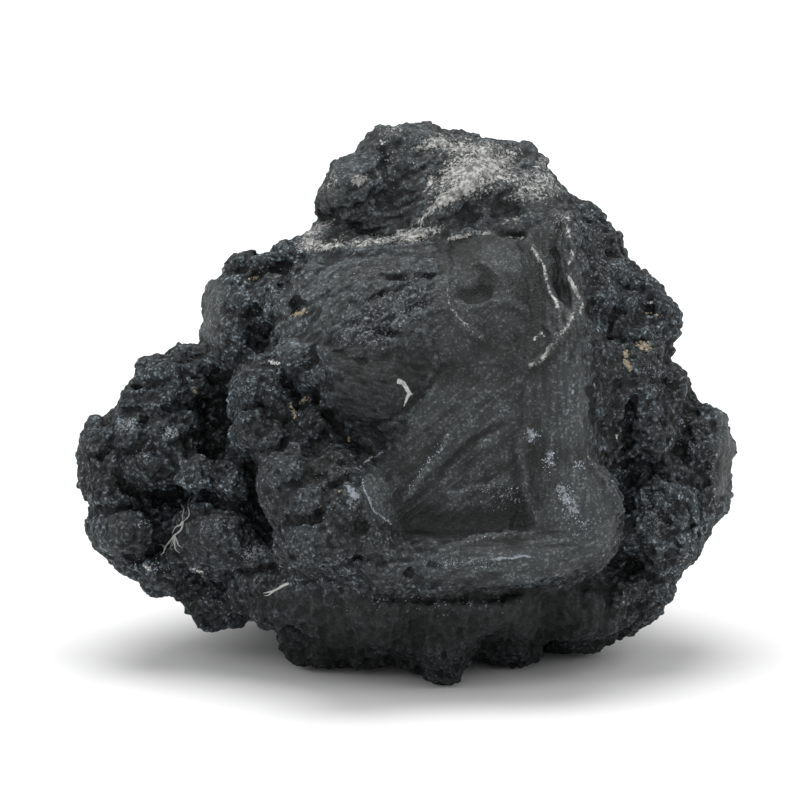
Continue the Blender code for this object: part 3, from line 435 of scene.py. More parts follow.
SPOTS = rows(Spot, [
    ("almond", -0.55, 12.2, 17.6, 2.9, 1.2, 10),
    ("almond upper", -0.4, 14.4, 20.2, 1.7, 1.2, -20),
    ("crown hollow", -0.87, -3, 34, 2.9, 1.6, 0),
    ("shelf hollow", -0.85, 11, 30.6, 3.2, 1.7, 10),
    ("shelf hollow right", -0.85, 17.4, 32, 3, 1.4, 0),
    ("shoulder slot", -1.18, -20, 21.9, 1.9, 0.7, 12),
    ("shoulder pit 1", -0.99, -24.4, 20.4, 1.5, 0.9, 20),
    ("shoulder pit 2", -1.24, -17.5, 16.4, 1.3, 1.0),
    ("shoulder pit 3", -1.12, -25, 14.2, 1.5, 0.9),
    ("shoulder pit 4", -1.12, -22.8, 11.6, 1.4, 0.9),
    ("shoulder pit 5", -0.87, -26.4, 21.8, 1.0, 0.8),
    ("shoulder low", -0.99, -22, 9, 1.6, 0.7),
    ("slot", -1.18, -2.2, 11.6, 2.8, 0.8, -5),
    ("slot tail", -0.74, -5.6, 16.7, 1.5, 0.4, 25),
    ("belly pit", -1.12, -6.2, -21, 1.3, 1.1, -25),
    ("rim pit", -1.24, 1.6, -28.8, 1.1, 0.8),
    ("rim pit right", -1.05, 5.8, -27.4, 1.3, 0.6, -15),
    ("rim pit left", -0.74, -3.4, -27.3, 1.6, 0.5),
    ("low hollow", -1.36, 38.9, -27.6, 1.5, 1.7),
    ("crest pit", -0.81, 19.2, 27.8, 1.7, 0.6, 5),
    ("cavity top", -0.99, -30.3, 3.8, 2.2, 1.5, 0),
    ("cheek dot", -0.85, -10.8, 0, 0.6, 0.7),
    ("fan dent", -0.77, 46.6, -22.6, 0.9, 1.4),
    ("ear pit", -0.4, 35, 24, 1.3, 0.8),
    ("ear pit 2", -0.4, 38.2, 11.8, 1.6, 1.0),
    ("ear pit 3", -0.2, 41.6, 17, 1.0, 0.7),
])

# Outlines of the places that more than one of the tables below names
BROW = [(-19, 8), (-12, 9), (-8, 15), (5, 22), (6, 27), (-14, 25), (-21, 14)]
PANEL = [(-2, -20), (-5, -14), (0, -6), (6, 4), (20, 4), (20, -8), (17, -21)]
COLUMN = [(21, 12), (31, 14), (32, -8), (36, -18), (24, -20), (21, -8)]
RIM = [(-5, -24), (23, -22), (36, -20), (31, -30), (16, -31.5), (-6, -31)]

# Where the skin is worn: the share of the knobs that is left
PATCHES = rows(Area, [
    ("worn face", 0.0, 2.0, [
        (6, 27), (15, 28), (27, 31), (29.5, 24), (31, 12), (31.5, -8), (36, -16), (37, -23),
        (31, -29), (16, -31), (6, -31), (4, -26), (5, -24), (-5, -20), (-7, -14),
        (-2, -9), (2, -1), (6, 4), (4, 12), (5, 20),
    ]),
    ("rim left", 0.5, 1.5, [(-6, -24), (6, -24), (6, -31), (-6, -30.5)]),
    ("nose", 0.3, 2.5, [(-12, 9), (-11, -4), (-4, -8), (6, 3), (5, 20), (-8, 15)]),
    ("brow", 0.4, 2.2, BROW),
    ("crown", 0.5, 2.0, [(-15, 26), (6, 27), (27, 31), (28, 48), (-16, 48)]),
    ("under", 0.3, 2.5, [(-20, -32), (0, -32), (34, -31), (36, -38), (20, -41), (-14, -41)]),
    ("flank", 0.1, 1.2, [(-34, 8), (-30.5, 8), (-29, 19), (-33, 22)]),
    ("fan", 0.9, 2.0, [(38, -14), (46, -13), (56, -16), (56, -22), (47, -30), (40, -26)]),
    ("right wall", 0.1, 1.2, [(53, -1), (57, -5), (57, -16), (52, -16), (52.5, -8)]),
    ("belly", 0.75, 2.5, [(-24, -11), (-10, -8), (-8, -20), (-8, -29), (-16, -25), (-22, -18)]),
    ("low ball", 0.8, 2.0, [(-52, -20), (-46, -17.5), (-41, -20), (-41, -26), (-47, -28)]),
    ("inner bulge", 0.8, 2.5, [(-36, -19), (-26, -18), (-20, -25), (-28, -31), (-36, -27)]),
])

# Where the stone's own edges are rubbed round: how fully
EASED = rows(Area, [
    ("slab edge", 1.0, 2.5, [(3, 5), (11, 5), (11, 26), (3, 26)]),
    ("slab corner", 0.8, 2.5, [(-6, -22), (3, -22), (12, -6), (6, 4), (0, -4)]),
    ("column", 1.0, 2.5, [(15, 8), (26, 8), (26, -17), (15, -20)]),
    ("right edge", 0.6, 2.5, [(28, 12), (35, 12), (36, -10), (39, -22), (34, -26), (30, -10)]),
    ("shelf", 0.6, 2.0, [(-14, 23), (20, 25), (20, 30), (-14, 29)]),
    ("rim", 0.5, 2.0, [(-6, -22), (24, -19), (24, -25), (-6, -27)]),
])

# Where the stone is lighter or darker than elsewhere: by which share. The nose, belly, left lobe and under
# rows are painted shade, darkest on the nose and the underside, which turn down from the lamp overhead
TONES_AND_SHADE = rows(Area, [
    ("panel", 0.38, 3, PANEL),
    ("column", 0.02, 3, COLUMN),
    ("rim", 0.04, 3, RIM),
    ("fan", 0.35, 3, [(38, -14), (46, -12), (56, -16), (50, -26), (46, -34), (38, -32)]),
    ("brow", 0.30, 3, BROW),
    ("shoulder", 0.32, 3, [(-33, 8), (-12, 9), (-14, 27), (-32, 25)]),
    ("crown", 0.25, 3, [(-15, 28), (6, 28), (27, 32), (28, 48), (-16, 48)]),
    ("nose", -0.58, 3, [(-12, 9), (-11, -4), (-4, -8), (6, 2), (5, 9), (-4, 10)]),
    ("cheek", -0.12, 3, [(-28, 7), (-14, 7), (-11, -8), (-26, -10)]),
    ("belly", -0.22, 3, [(-24, -11), (-10, -8), (-7, -20), (-7, -29), (-20, -28)]),
    ("under", -0.7, 1.5, [(-26, -31.5), (0, -32.5), (24, -31), (36, -30), (38, -40), (20, -47), (-22, -46)]),
    ("left lobe", -0.08, 3, [(-56, 0), (-30, 4), (-26, -16), (-24, -34), (-50, -32)]),
    ("cavity", 0.9, 1.5, [(-35, 6), (-28.5, 6), (-28, -9), (-35, -9)]),
    ("low cavity", 0.6, 1.5, [(-46, -13.5), (-24, -14), (-21, -26), (-25, -27), (-28, -17.5), (-46, -17.5)]),
    ("right top", 0.1, 3, [(28, 36), (32, 4), (50, 4), (44, 22), (30, 36)]),
])

# Where the skin is combed into folds: their way, their length and their spacing
COMBED = rows(Combed, [
    ("panel", 38, 9, 1.3, 0.09, 2, PANEL),
    ("column", 88, 12, 1.5, 0.09, 2, COLUMN),
    ("rim", 4, 12, 1.4, 0.14, 1.5, RIM),
    ("brow", 33, 5, 1.2, 0.2, 3, [(-20, 8), (-12, 9), (-4, 16), (5, 22), (6, 26), (-14, 24), (-21, 14)]),
    ("blue band", 33, 3, 1.0, 0.38, 3, [(-14, 9), (-2, 8), (6, 14), (6, 22), (-6, 16)]),
    ("nose", -12, 4, 1.0, 0.2, 2, [(-11, 8), (-10, -4), (-3, -8), (6, 3), (4, 9)]),
    ("crown", 30, 6, 1.3, 0.24, 3, [(-12, 31), (4, 30), (18, 34), (26, 38), (10, 46), (-8, 41)]),
    ("shelf", 12, 9, 1.5, 0.25, 2, [(-16, 24), (6, 26), (6, 31), (-14, 30)]),
    ("drapes", 100, 9, 1.4, 0.25, 1.5, [(21, 27), (28, 31), (31, 24), (31, 10), (24, 10)]),
    ("under", 84, 5, 2.0, 0.38, 2, [(-24, -32), (36, -31), (38, -40), (20, -46), (-20, -46)]),
    ("lobe top", 8, 5, 1.4, 0.4, 2, [(-48, 0), (-38, 9), (-33, 9), (-32, -4), (-44, -4)]),
    ("fan", -52, 6, 1.8, 0.5, 2, [(38, -14), (50, -14), (52, -22), (46, -29), (41, -28)]),
])

# Pale dust rubbed into the edges: its amount, and how softly it ends. The flank haze row is painted light, a
# reflection of the white room on the flank that faces it
DUST_AND_PAINTED_LIGHT = rows(Area, [
    ("crown broad", 0.85, 3.0, [(5, 35), (8, 40), (14, 43.5), (19, 42), (19, 37), (13, 34.5)]),
    ("crown ridge", 0.9, 1.2, [(2, 29), (8, 32), (15, 36.5), (20, 37), (18, 39), (12, 38), (6, 34)]),
    ("crown top", 0.8, 1.5, [(2, 42), (6, 44.5), (12, 43), (18, 42.5), (14, 40.5), (8, 41)]),
    ("crown brow", 0.6, 1.5, [(19, 33), (25, 33.6), (28, 36), (26, 38.6), (20, 38)]),
    ("knob", 0.5, 1.0, [(-4, 42), (-3, 45.5), (0.5, 46.5), (-0.5, 44.5), (-2.5, 44.5)]),
    ("shelf", 0.9, 1.0, [(-18, 24.8), (-8, 25.8), (4, 26.8), (8, 29), (2, 28.6), (-6, 26.8), (-15, 27)]),
    ("shelf left", 0.8, 0.9, [(-17, 26), (-15, 29), (-10.5, 30), (-13, 27.6)]),
    ("crown left 1", 0.6, 0.8, [(-13.6, 35), (-11, 38.6), (-10.4, 37), (-12, 34.6)]),
    ("crown left 2", 0.9, 0.5, [(-8.4, 36), (-7.6, 37.6), (-5, 38.4), (-5.4, 37.6), (-7.6, 35.2)]),
    ("crown fleck", 0.9, 0.4, [(3, 34.6), (4.8, 37.4), (6, 37.4), (4.6, 36)]),
    ("crown corner", 0.7, 0.8, [(22.4, 38.4), (22.6, 40.6), (25, 40.4), (25.4, 38.2)]),
    ("brow haze", 0.16, 3, [(-10, 21), (-8, 24), (6, 25), (6, 22), (-2, 20)]),
    ("flank haze", 0.2, 2, [(-34, 9), (-31, 9), (-28, 19), (-32, 20)]),
    ("neck haze", 0.3, 1.5, [(25, 27), (28.6, 28), (29, 33), (24, 33)]),
])

# Pale lines along crests, partly dust rubbed into them and partly painted highlight, with painted reflection
# on the lobe edge and the wall edge: their amount at the middle, and how wide they are to each side
DUST_AND_HIGHLIGHT_LINES = rows(Trace, [
    ("shelf crest", 1.0, 0.62, [(7.5, 26.5), (10, 27.3), (12, 27.8), (15, 27.9)]),
    ("shelf crest right", 0.8, 0.45, [(16.5, 29), (18, 29.8), (19.5, 30.3)]),
    ("crest cut", 0.8, 0.36, [(17.5, 27.3), (19, 27.2), (20.8, 27)]),
    ("drape 1", 1.3, 0.5, [(21.3, 26.4), (22.5, 24.5), (24, 22), (25, 18.5), (26.3, 15.6)]),
    ("drape 2", 1.3, 0.45, [
        (28, 31), (28.3, 26), (28.8, 24), (28, 22), (28.6, 19.6), (30.2, 16.5), (30.2, 14.6),
    ]),
    ("drape 3", 1.0, 0.62, [(28.7, 14.2), (27.6, 12), (26, 10), (24.2, 7.6), (21, 5.2)]),
    ("drape 3 low", 0.7, 0.36, [(21.2, 9), (22.4, 10.2), (23.6, 11.2)]),
    ("fine line", 0.6, 0.31, [(7.8, 18.5), (8.5, 15.4), (11, 12.5), (14, 10)]),
    ("almond rim", 0.4, 0.31, [(13.6, 23.4), (16, 21), (17.8, 18.6)]),
    ("almond foot", 0.4, 0.28, [(14, 17.2), (16.4, 16.4), (19, 15.8), (21, 13.8)]),
    ("brow edge", 0.4, 0.31, [(-5, 21.2), (-1, 21.4), (3, 21.4)]),
    ("rim crest", 0.5, 0.54, [(23, -22.3), (19, -22.6), (15, -22.8), (10, -24)]),
    ("column side", 0.45, 0.45, [
        (31.4, -9.6), (33.4, -12.4), (35.6, -15.8), (37, -19.4), (37, -22), (35.4, -24.6),
    ]),
    ("rim foot", 0.2, 0.62, [(36, -24.6), (33, -26.6), (30, -28.6), (26, -29.4)]),
    ("fan edge", 0.7, 0.36, [(52.3, -16), (50.6, -20), (48.9, -23.4), (48.4, -25.6), (47, -27)]),
    ("fan edge 2", 0.4, 0.28, [(49.4, -21), (48.4, -23.6), (48, -26)]),
    ("wall edge", 0.3, 0.62, [(53.6, -2), (54.4, -5), (52.4, -10), (52.2, -15)]),
    ("low loop", 0.6, 0.31, [(37, -31.8), (37.6, -33.4), (36, -34.6)]),
    ("belly edge", 0.16, 0.72, [
        (-24, -13), (-22.4, -18), (-18.5, -23), (-15, -26.8), (-11, -28.4), (-8, -29),
    ]),
    ("belly low", 0.15, 1.44, [(-17, -22.6), (-12, -24.6), (-8, -27)]),
    ("lobe edge", 0.16, 0.62, [(-53, -4), (-53.6, -9), (-52.6, -16)]),
    ("low lobe edge", 0.3, 0.36, [(-43, -31.4), (-39, -31.6), (-35.6, -33.6)]),
])

# Cool white frost, partly tiny crystals and partly painted glints and sheen where facets catch the lamp:
# patches of it, and lines
FROST_AND_GLINTS = rows(Area, [
    ("lobe 1", 0.5, 0.8, [(-47, -3), (-43.5, -3), (-44, -5.4), (-46.4, -5.6)]),
    ("lobe 2", 0.6, 0.6, [(-39.6, -4.4), (-37.4, -4.6), (-37.4, -6.4), (-39.2, -6.4)]),
    ("inner 1", 0.45, 0.8, [(-27.4, -24.6), (-21, -24), (-19.6, -25.6), (-26, -27.4)]),
    ("inner 2", 0.35, 0.8, [(-34, -20.6), (-28, -19.6), (-28, -21.6), (-33, -22)]),
    ("blob", 1.0, 0.4, [(-9, -14), (-8, -14.2), (-6.6, -16.4), (-7.2, -17.2), (-8.4, -16)]),
    ("panel corner", 0.22, 1.2, [(13, -13.4), (20.6, -13), (20.6, -18), (14, -16)]),
    ("panel top", 0.22, 1.2, [(14, 0), (19, 0.4), (19, -3), (14.6, -2.4)]),
    ("column 1", 0.8, 0.4, [(21, -5.2), (22.4, -5.2), (23.4, -6.4), (22, -7.2)]),
    ("column 2", 0.6, 0.5, [(24.2, -8.4), (26, -8.2), (26, -11.8), (24.4, -11.6)]),
    ("column 3", 0.75, 0.5, [(26.4, -13.6), (28, -14), (29.4, -19), (28.4, -19.6), (27, -17)]),
    ("column 4", 0.5, 0.4, [(29, -10.4), (30.6, -10), (30.4, -11.4), (29.4, -11.6)]),
    ("blue band", 0.3, 2.5, [(-12, 9), (-2, 8), (5, 15), (5, 21), (-6, 17)]),
    ("shoulder", 0.3, 1.2, [(-24, 17), (-19, 18), (-18.6, 14.6), (-23, 14.6)]),
    ("temple", 0.25, 1.2, [(28.6, 26), (33, 27), (34, 31), (29, 32)]),
    ("temple low", 0.25, 1.2, [(31, 24), (38, 24), (38, 20), (32, 20)]),
    ("fan", 0.22, 1.5, [(38, -15), (45, -15), (45, -22), (38, -22)]),
    ("under 1", 0.35, 0.6, [(-5, -32.6), (-2, -32.4), (-2, -34.4), (-4.4, -34.4)]),
    ("under 2", 0.3, 0.5, [(11.6, -33.8), (15, -33.8), (14.6, -35), (12, -35)]),
    ("under 3", 0.3, 0.5, [(6.6, -35.2), (8.8, -35.2), (8.8, -36.2), (6.8, -36.2)]),
    ("right knot", 0.5, 0.4, [(45.8, -2.8), (47.4, -2.6), (47, -4), (46, -3.8)]),
])

FROST_AND_GLINT_LINES = rows(Trace, [
    ("belly line", 1.3, 0.35, [(-7.2, -11.6), (-5, -9.8), (-3, -8.8), (-1, -7.4)]),
    ("belly line 2", 1.3, 0.32, [(-6.6, -12.2), (-6.2, -14.4), (-5.4, -16.2), (-4, -18.6), (-1.6, -20.6)]),
    ("panel ridge", 0.45, 0.5, [(0.4, -16.6), (2, -13.8), (4, -11.8), (6.4, -8.8), (8.6, -4.6)]),
    ("panel step", 0.7, 0.35, [(7.4, -15), (9.6, -15.6), (12, -14.4), (15, -14)]),
    ("rim line", 1.3, 0.3, [(15.2, -26.4), (18, -26.4), (21, -26), (24, -26)]),
    ("rim line left", 0.8, 0.4, [(7.4, -28), (9.4, -26.6), (12, -26.4)]),
    ("undercut line", 0.35, 0.25, [(0, -32.8), (4, -33), (8, -32.9), (12, -32.6)]),
    ("column tick 1", 1.1, 0.28, [(29, 2.6), (28.8, 1.6), (28.4, 0.6)]),
    ("column tick 2", 1.0, 0.3, [(28.6, -1), (28, -2.2), (27, -3)]),
    ("side tick", 1.0, 0.3, [(32.2, 2.8), (32.5, 1.4), (32.4, 0)]),
    ("side tick low", 0.5, 0.3, [(31.9, -2.4), (32.6, -4.6), (31.4, -7.4), (31.4, -9)]),
    ("wrinkle", 0.35, 0.3, [(-15.4, -37.6), (-12.6, -38.8), (-9.6, -39.8)]),
    ("low tick", 1.0, 0.3, [(-34.8, -28.2), (-33.4, -28.6), (-32.4, -29)]),
])


def length_setting(name, description, default, least):
    return FloatProperty(
        name=name, description=description, default=default, min=least, unit="LENGTH", precision=5,
    )


def share_setting(name, description):
    return FloatProperty(name=name, description=description, default=1.0, min=0, max=2, subtype="FACTOR")


def colour_setting(name, description, default):
    return FloatVectorProperty(
        name=name, description=description, default=default, min=0, max=1, subtype="COLOR",
    )


class SkinSettings(bpy.types.PropertyGroup):
    """Sizes of the stone's own surface."""

    start_grid: length_setting(
        "Start grid", "Spacing on which the stone's facets are rounded first", 0.00058, 0.0003,
    )
    middle_grid: length_setting(
        "Middle grid", "Spacing on which the lobes and creases are worked out", 0.0004, 0.0002,
    )
    grid: length_setting("Fine grid", "Spacing of the finished skin", 0.00028, 0.0002)
    rubbed: IntProperty(
        name="Rubbed", description="How often the rubbed edges are evened out", default=70, min=0, max=300,
    )
    triangles: IntProperty(
        name="Triangles", description="How many triangles the finished skin has, over all its panels",
        default=850000, min=100000, max=950000,
    )
    knobs: share_setting("Knobs", "Height of the cauliflower knobs, as a share of the full height")
    lobes: share_setting("Lobes", "Height of the placed lobes, as a share of the full height")
    creases: share_setting("Creases", "Depth of the placed creases and crests, as a share of the full depth")


class SmallSettings(bpy.types.PropertyGroup):
    """Sizes of the small things that lie on the skin."""

    crumbs: share_setting("Crumbs", "Size of the crumbs, as a share of their full size")
    glints: share_setting("Glints", "Size of the bright crystals, as a share of their full size")
    scuff_size: length_setting("Pale grain size", "Radius of an average pale grain", 0.00011, 0.00002)
    scuffs: IntProperty(name="Pale grains", description="Most pale grains", default=7000, min=0, max=12000)


class FinishSettings(bpy.types.PropertyGroup):
    """Colours of the stone and of what lies on it."""

    charcoal: colour_setting("Charcoal", "The stone's own dark colour", (0.0128, 0.0152, 0.0158))
    slate: colour_setting("Slate", "The cooler colour of its rough places", (0.023, 0.0287, 0.0322))
    worn: colour_setting("Worn", "Colour of the rubbed, smooth face", (0.0244, 0.0282, 0.0286))
    dust: colour_setting("Dust", "Pale dust on the edges", (0.41, 0.41, 0.395))
    frost: colour_setting("Frost", "Tiny pale crystals on the skin", (0.24, 0.27, 0.30))
    glint: colour_setting("Glint", "Bright crystals", (0.55, 0.6, 0.66))
    white: colour_setting("White", "The fibre, the chip and the sliver", (0.78, 0.78, 0.76))
    tan: colour_setting("Tan", "Crumbs in the creases", (0.42, 0.36, 0.25))


class StageSettings(bpy.types.PropertyGroup):
    """The table, its light and the camera."""

    lens: FloatProperty(
        name="Lens", description="Focal length of the camera", default=243.0, min=20, unit="CAMERA",
    )
    lamp_power: FloatProperty(
        name="Lamp", description="Strength of the broad lamp overhead", default=2.0, min=0,
    )
    side_power: FloatProperty(
        name="Side lamps", description="Strength of the soft lamp on each side", default=0.75, min=0,
    )
    sky: FloatProperty(
        name="White room", description="Brightness of the white room around the table", default=0.56, min=0,
    )
    floor_size: FloatProperty(
        name="Table", description="Length of the table top", default=6.0, min=1, unit="LENGTH",
    )


# Places and distances in the front view

def placed(across, up, toward):
    """Where each thing lies that shows at this place in the front view, in millimetres from the middle."""
    nearness = 1 - toward / VIEW_DISTANCE
    return np.column_stack([nearness * across, nearness * up, toward]) @ np.array([ACROSS, UP, TOWARD])


def seen(points):
    """How far across, up and toward the viewer each point shows in the front view."""
    toward = points @ TOWARD
    nearness = 1 - toward / VIEW_DISTANCE
    return points @ ACROSS / nearness, points @ UP / nearness, toward


def unit(vectors):
    return vectors / np.linalg.norm(vectors, axis=1)[:, None]


def smooth_step(value, low, high):
    t = np.clip((value - low) / (high - low), 0, 1)
    return t * t * (3 - 2 * t)


def smooth_line(points, steps=5):
    """A smooth curve through the points, as more points."""
    points = np.array(points, float)
    padded = np.vstack([2 * points[0] - points[1], points, 2 * points[-1] - points[-2]])
    made = []
    for a, b, c, d in zip(padded, padded[1:], padded[2:], padded[3:]):
        for t in np.arange(steps) / steps:
            bend = (2 * a - 5 * b + 4 * c - d) * t**2 + (3 * b - a - 3 * c + d) * t**3
            made.append(b + ((c - a) * t + bend) / 2)
    return np.array(made + [points[-1]])


def wavering(points, across, up, reach, size, layers, salt):
    """The places in the front view, moved about a little so that what is drawn there comes out uneven."""
    return (
        across + reach[0] * layered_noise(points, size, layers, salt),
        up + reach[-1] * layered_noise(points, size, layers, salt + 4),
    )


def turned(x, y, degrees):
    """The places as they are read along and across a way that is turned by this much."""
    c, s = math.cos(math.radians(degrees)), math.sin(math.radians(degrees))
    return c * x + s * y, c * y - s * x


def to_segment(across, up, start, end):
    """How each place lies off a straight piece of line, and how far along the piece, from 0 to 1."""
    (x0, y0), (x1, y1) = start, end
    dx, dy = x1 - x0, y1 - y0
    along = np.clip(((across - x0) * dx + (up - y0) * dy) / (dx * dx + dy * dy), 0, 1)
    return across - x0 - along * dx, up - y0 - along * dy, along


def beside_line(across, up, line):
    """How far each place is from a line, above 0 on the left of its way, and how far along it, from 0 to 1."""
    nearest = np.full(len(across), FAR_OFF)
    side = np.ones(len(across))
    passed = np.zeros(len(across))
    lengths = np.concatenate([[0], np.cumsum(np.hypot(*np.diff(line, axis=0).T))])
    for start, end, so_far, by_then in zip(line, line[1:], lengths, lengths[1:]):
        away_x, away_y, along = to_segment(across, up, start, end)
        distance = np.hypot(away_x, away_y)
        closer = distance < nearest
        nearest = np.where(closer, distance, nearest)
        dx, dy = end - start
        side = np.where(closer, np.where(dx * away_y - dy * away_x < 0, -1, 1), side)
        passed = np.where(closer, so_far + along * (by_then - so_far), passed)
    return nearest * side, passed / lengths[-1]


def near_line(across, up, points, reach):
    """Which places lie near a line, how far each of them is from it, and how far along it."""
    line = smooth_line(points)
    low, high = line.min(axis=0) - reach, line.max(axis=0) + reach
    near = (across > low[0]) & (across < high[0]) & (up > low[1]) & (up < high[1])
    return near, *beside_line(across[near], up[near], line)


def inside_outline(across, up, points):
    """How far inside a closed outline each place is, and below 0 outside it."""
    crossings = np.zeros(len(across), bool)
    nearest = np.full(len(across), FAR_OFF)
    for start, end in zip(points, points[1:] + points[:1]):
        (x0, y0), (x1, y1) = start, end
        if y0 != y1:
            spans = (y0 > up) != (y1 > up)
            crossings ^= spans & (across < (x1 - x0) * (up - y0) / (y1 - y0) + x0)
        away_x, away_y, _ = to_segment(across, up, start, end)
        nearest = np.minimum(nearest, np.hypot(away_x, away_y))
    return np.where(crossings, nearest, -nearest)


def area_share(across, up, area):
    """How fully each place lies in an area, from 0 outside its blurred edge to 1 inside it."""
    return smooth_step(inside_outline(across, up, area.points), -area.blur, area.blur)


def front_share(points, normals):
    """How fully each point shows from the front: 0 where it faces away or lies behind a nearer part."""
    across, up, toward = seen(points)
    column = ((across + VIEW_REACH) / VIEW_CELL).astype(int)
    row = ((up + VIEW_REACH) / VIEW_CELL).astype(int)
    cells = round(2 * VIEW_REACH / VIEW_CELL)
    nearest = np.full((cells, cells), -FAR_OFF)
    np.maximum.at(nearest, (column, row), toward)
    hidden = smooth_step(nearest[column, row] - toward, *HIDDEN_BEHIND)
    return smooth_step(normals @ TOWARD, *FACES_VIEWER) * (1 - hidden)


# Patterns in space

def scatter(cells, salt):
    """A number from 0 to 1 for each whole-numbered cell, in no order and always the same."""
    mixed = cells @ np.array([374761393, 668265263, 2147483629]) + salt * 1274126177
    mixed = (mixed ^ (mixed >> 13)) * 1103515245
    mixed = (mixed ^ (mixed >> 17)) * 668265263
    return ((mixed ^ (mixed >> 15)) & 0xFFFFFF) / 0x1000000


def crowded_balls(points, size, least, salt):
    """How high balls that crowd together stand at each point, as a share of their size."""
    places = points / size
    home = np.floor(places).astype(np.int64)
    height = np.zeros(len(points))
    for step in itertools.product((-1, 0, 1), repeat=3):
        cell = home + step
        middle = cell + np.column_stack([scatter(cell, salt + axis) for axis in range(3)])
        reach = least + (1 - least) * scatter(cell, salt + 3)
        height = np.maximum(height, reach**2 - ((places - middle) ** 2).sum(axis=1))
    return np.sqrt(height)


def soft_noise(points, size, salt):
    """Smooth noise from -1 to 1 with bumps of this size."""
    places = points / size
    home = np.floor(places).astype(np.int64)
    share = places - home
    share = share * share * (3 - 2 * share)
    total = np.zeros(len(points))
    for corner in itertools.product((0, 1), repeat=3):
        weight = np.prod(np.where(corner, share, 1 - share), axis=1)
        total += weight * scatter(home + np.array(corner), salt)
    return 2 * total - 1


def layered_noise(points, size, layers, salt):
    total = np.zeros(len(points))
    for layer in range(layers):
        total += soft_noise(points, size / 2**layer, salt + layer) / 2**layer
    return total


def stirred(points, size, amount, salt):
    """The points moved about a little, so that a pattern read there loses its straight edges."""
    return points + amount * np.column_stack([soft_noise(points, size, salt + axis) for axis in range(3)])


# Meshes

def points_of(mesh):
    """The mesh's vertices, in millimetres from the stone's middle."""
    points = np.empty(len(mesh.vertices) * 3, np.float32)
    mesh.vertices.foreach_get("co", points)
    return points.reshape(-1, 3).astype(float) / MM - MIDDLE


def set_points(mesh, points):
    mesh.vertices.foreach_set("co", ((points + MIDDLE) * MM).astype(np.float32).ravel())
    mesh.update()


def normals_of(mesh):
    normals = np.empty(len(mesh.vertices) * 3, np.float32)
    mesh.vertex_normals.foreach_get("vector", normals)
    return normals.reshape(-1, 3).astype(float)


def linked(name, data):
    """An object in the scene with this mesh, lamp or camera."""
    obj = bpy.data.objects.new(name, data)
    bpy.context.scene.collection.objects.link(obj)
    return obj


def evaluated(mesh, *modifiers):
    """The mesh after these modifiers, each given as its kind and its settings."""
    obj = linked("working", mesh)
    for kind, settings in modifiers:
        modifier = obj.modifiers.new(kind.lower(), kind)
        for name, value in settings.items():
            setattr(modifier, name, value)
    graph = bpy.context.evaluated_depsgraph_get()
    made = bpy.data.meshes.new_from_object(obj.evaluated_get(graph))
    bpy.data.objects.remove(obj)
    return made


def remeshed(mesh, grid):
    """The skin of the mesh again, in faces of one size."""
    return evaluated(mesh, ("REMESH", {"mode": "VOXEL", "voxel_size": grid}))


def with_fewer_triangles(mesh, triangles):
    mesh.calc_loop_triangles()
    share = min(1, triangles / len(mesh.loop_triangles))
    return evaluated(mesh, ("TRIANGULATE", {}), ("DECIMATE", {"ratio": share}))


def mesh_from(name, points, faces):
    """A mesh from points in millimetres from the stone's middle and faces of one number of corners."""
    points, faces = np.asarray(points, float), np.asarray(faces)
    corners = faces.shape[1]
    mesh = bpy.data.meshes.new(name)
    mesh.vertices.add(len(points))
    mesh.loops.add(faces.size)
    mesh.polygons.add(len(faces))
    mesh.loops.foreach_set("vertex_index", faces.ravel().astype(np.int32))
    mesh.polygons.foreach_set("loop_start", np.arange(0, faces.size, corners, dtype=np.int32))
    set_points(mesh, points)
    mesh.update(calc_edges=True)
    mesh.validate()
    return mesh


def give_values(mesh, name, values):
    """Keeps a number for each vertex, which the finish reads by its name."""
    attribute = mesh.attributes.new(name, "FLOAT", "POINT")
    attribute.data.foreach_set("value", np.asarray(values, np.float32))


def give_vectors(mesh, name, vectors):
    attribute = mesh.attributes.new(name, "FLOAT_VECTOR", "POINT")
    attribute.data.foreach_set("vector", np.asarray(vectors, np.float32).ravel())


def shown(name, mesh, material, smooth=True):
    """An object with this mesh and finish, riding on the stone's one body."""
    obj = linked(name, mesh)
    mesh.materials.clear()
    mesh.materials.append(material)
    if smooth:
        mesh.shade_smooth()
    else:
        mesh.shade_flat()
    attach(obj, "root")
    return obj


# The skin

def roughness_at(points, normals):
    """The share of the knobs that each point has."""
    across, up, _ = seen(points)
    front = front_share(points, normals)
    rough = np.ones(len(points))
    for area in PATCHES:
        rough += area_share(across, up, area) * front * (area.amount - rough)
    return rough


def combed_places(points, normals):
    """Where each point reads the fold pattern, drawn out along the folds, and how high the folds are."""
    across, up, toward = seen(points)
    front = front_share(points, normals)
    places, height = points / PLAIN_SPACING, np.zeros(len(points))
    strongest = np.full(len(points), FAINTEST_FOLD)
    for folds in COMBED:
        share = area_share(across, up, folds) * front
        along, beside = turned(across, up, folds.turn)
        drawn = np.column_stack([along / folds.along, beside / folds.across, toward / folds.across / 2])
        stronger = share > strongest
        places[stronger] = drawn[stronger]
        strongest = np.maximum(strongest, share)
        height = np.maximum(height, share * folds.height)
    return places, height


def joined_points(mesh):
    """The pairs of vertices that the edges join, and how many neighbours each vertex has."""
    edges = np.empty(len(mesh.edges) * 2, np.int32)
    mesh.edges.foreach_get("vertices", edges)
    a, b = edges.reshape(-1, 2).T
    count = len(mesh.vertices)
    return a, b, np.bincount(a, minlength=count) + np.bincount(b, minlength=count)


def averaged(points, a, b, neighbours):
    """For each vertex the middle of its neighbours."""
    total = np.zeros_like(points)
    count = len(points)
    for axis in range(3):
        total[:, axis] = np.bincount(a, points[b, axis], count) + np.bincount(b, points[a, axis], count)
    return total / np.maximum(neighbours, 1)[:, None]


def most_of(points, areas, across, up):
    """The most that any of the areas gives to each point."""
    most = np.zeros(len(points))
    for area in areas:
        most = np.maximum(most, area.amount * area_share(across, up, area))
    return most


def raised(mesh, lift):
    """Moves each vertex out of the skin by its own lift."""
    set_points(mesh, points_of(mesh) + lift[:, None] * normals_of(mesh))


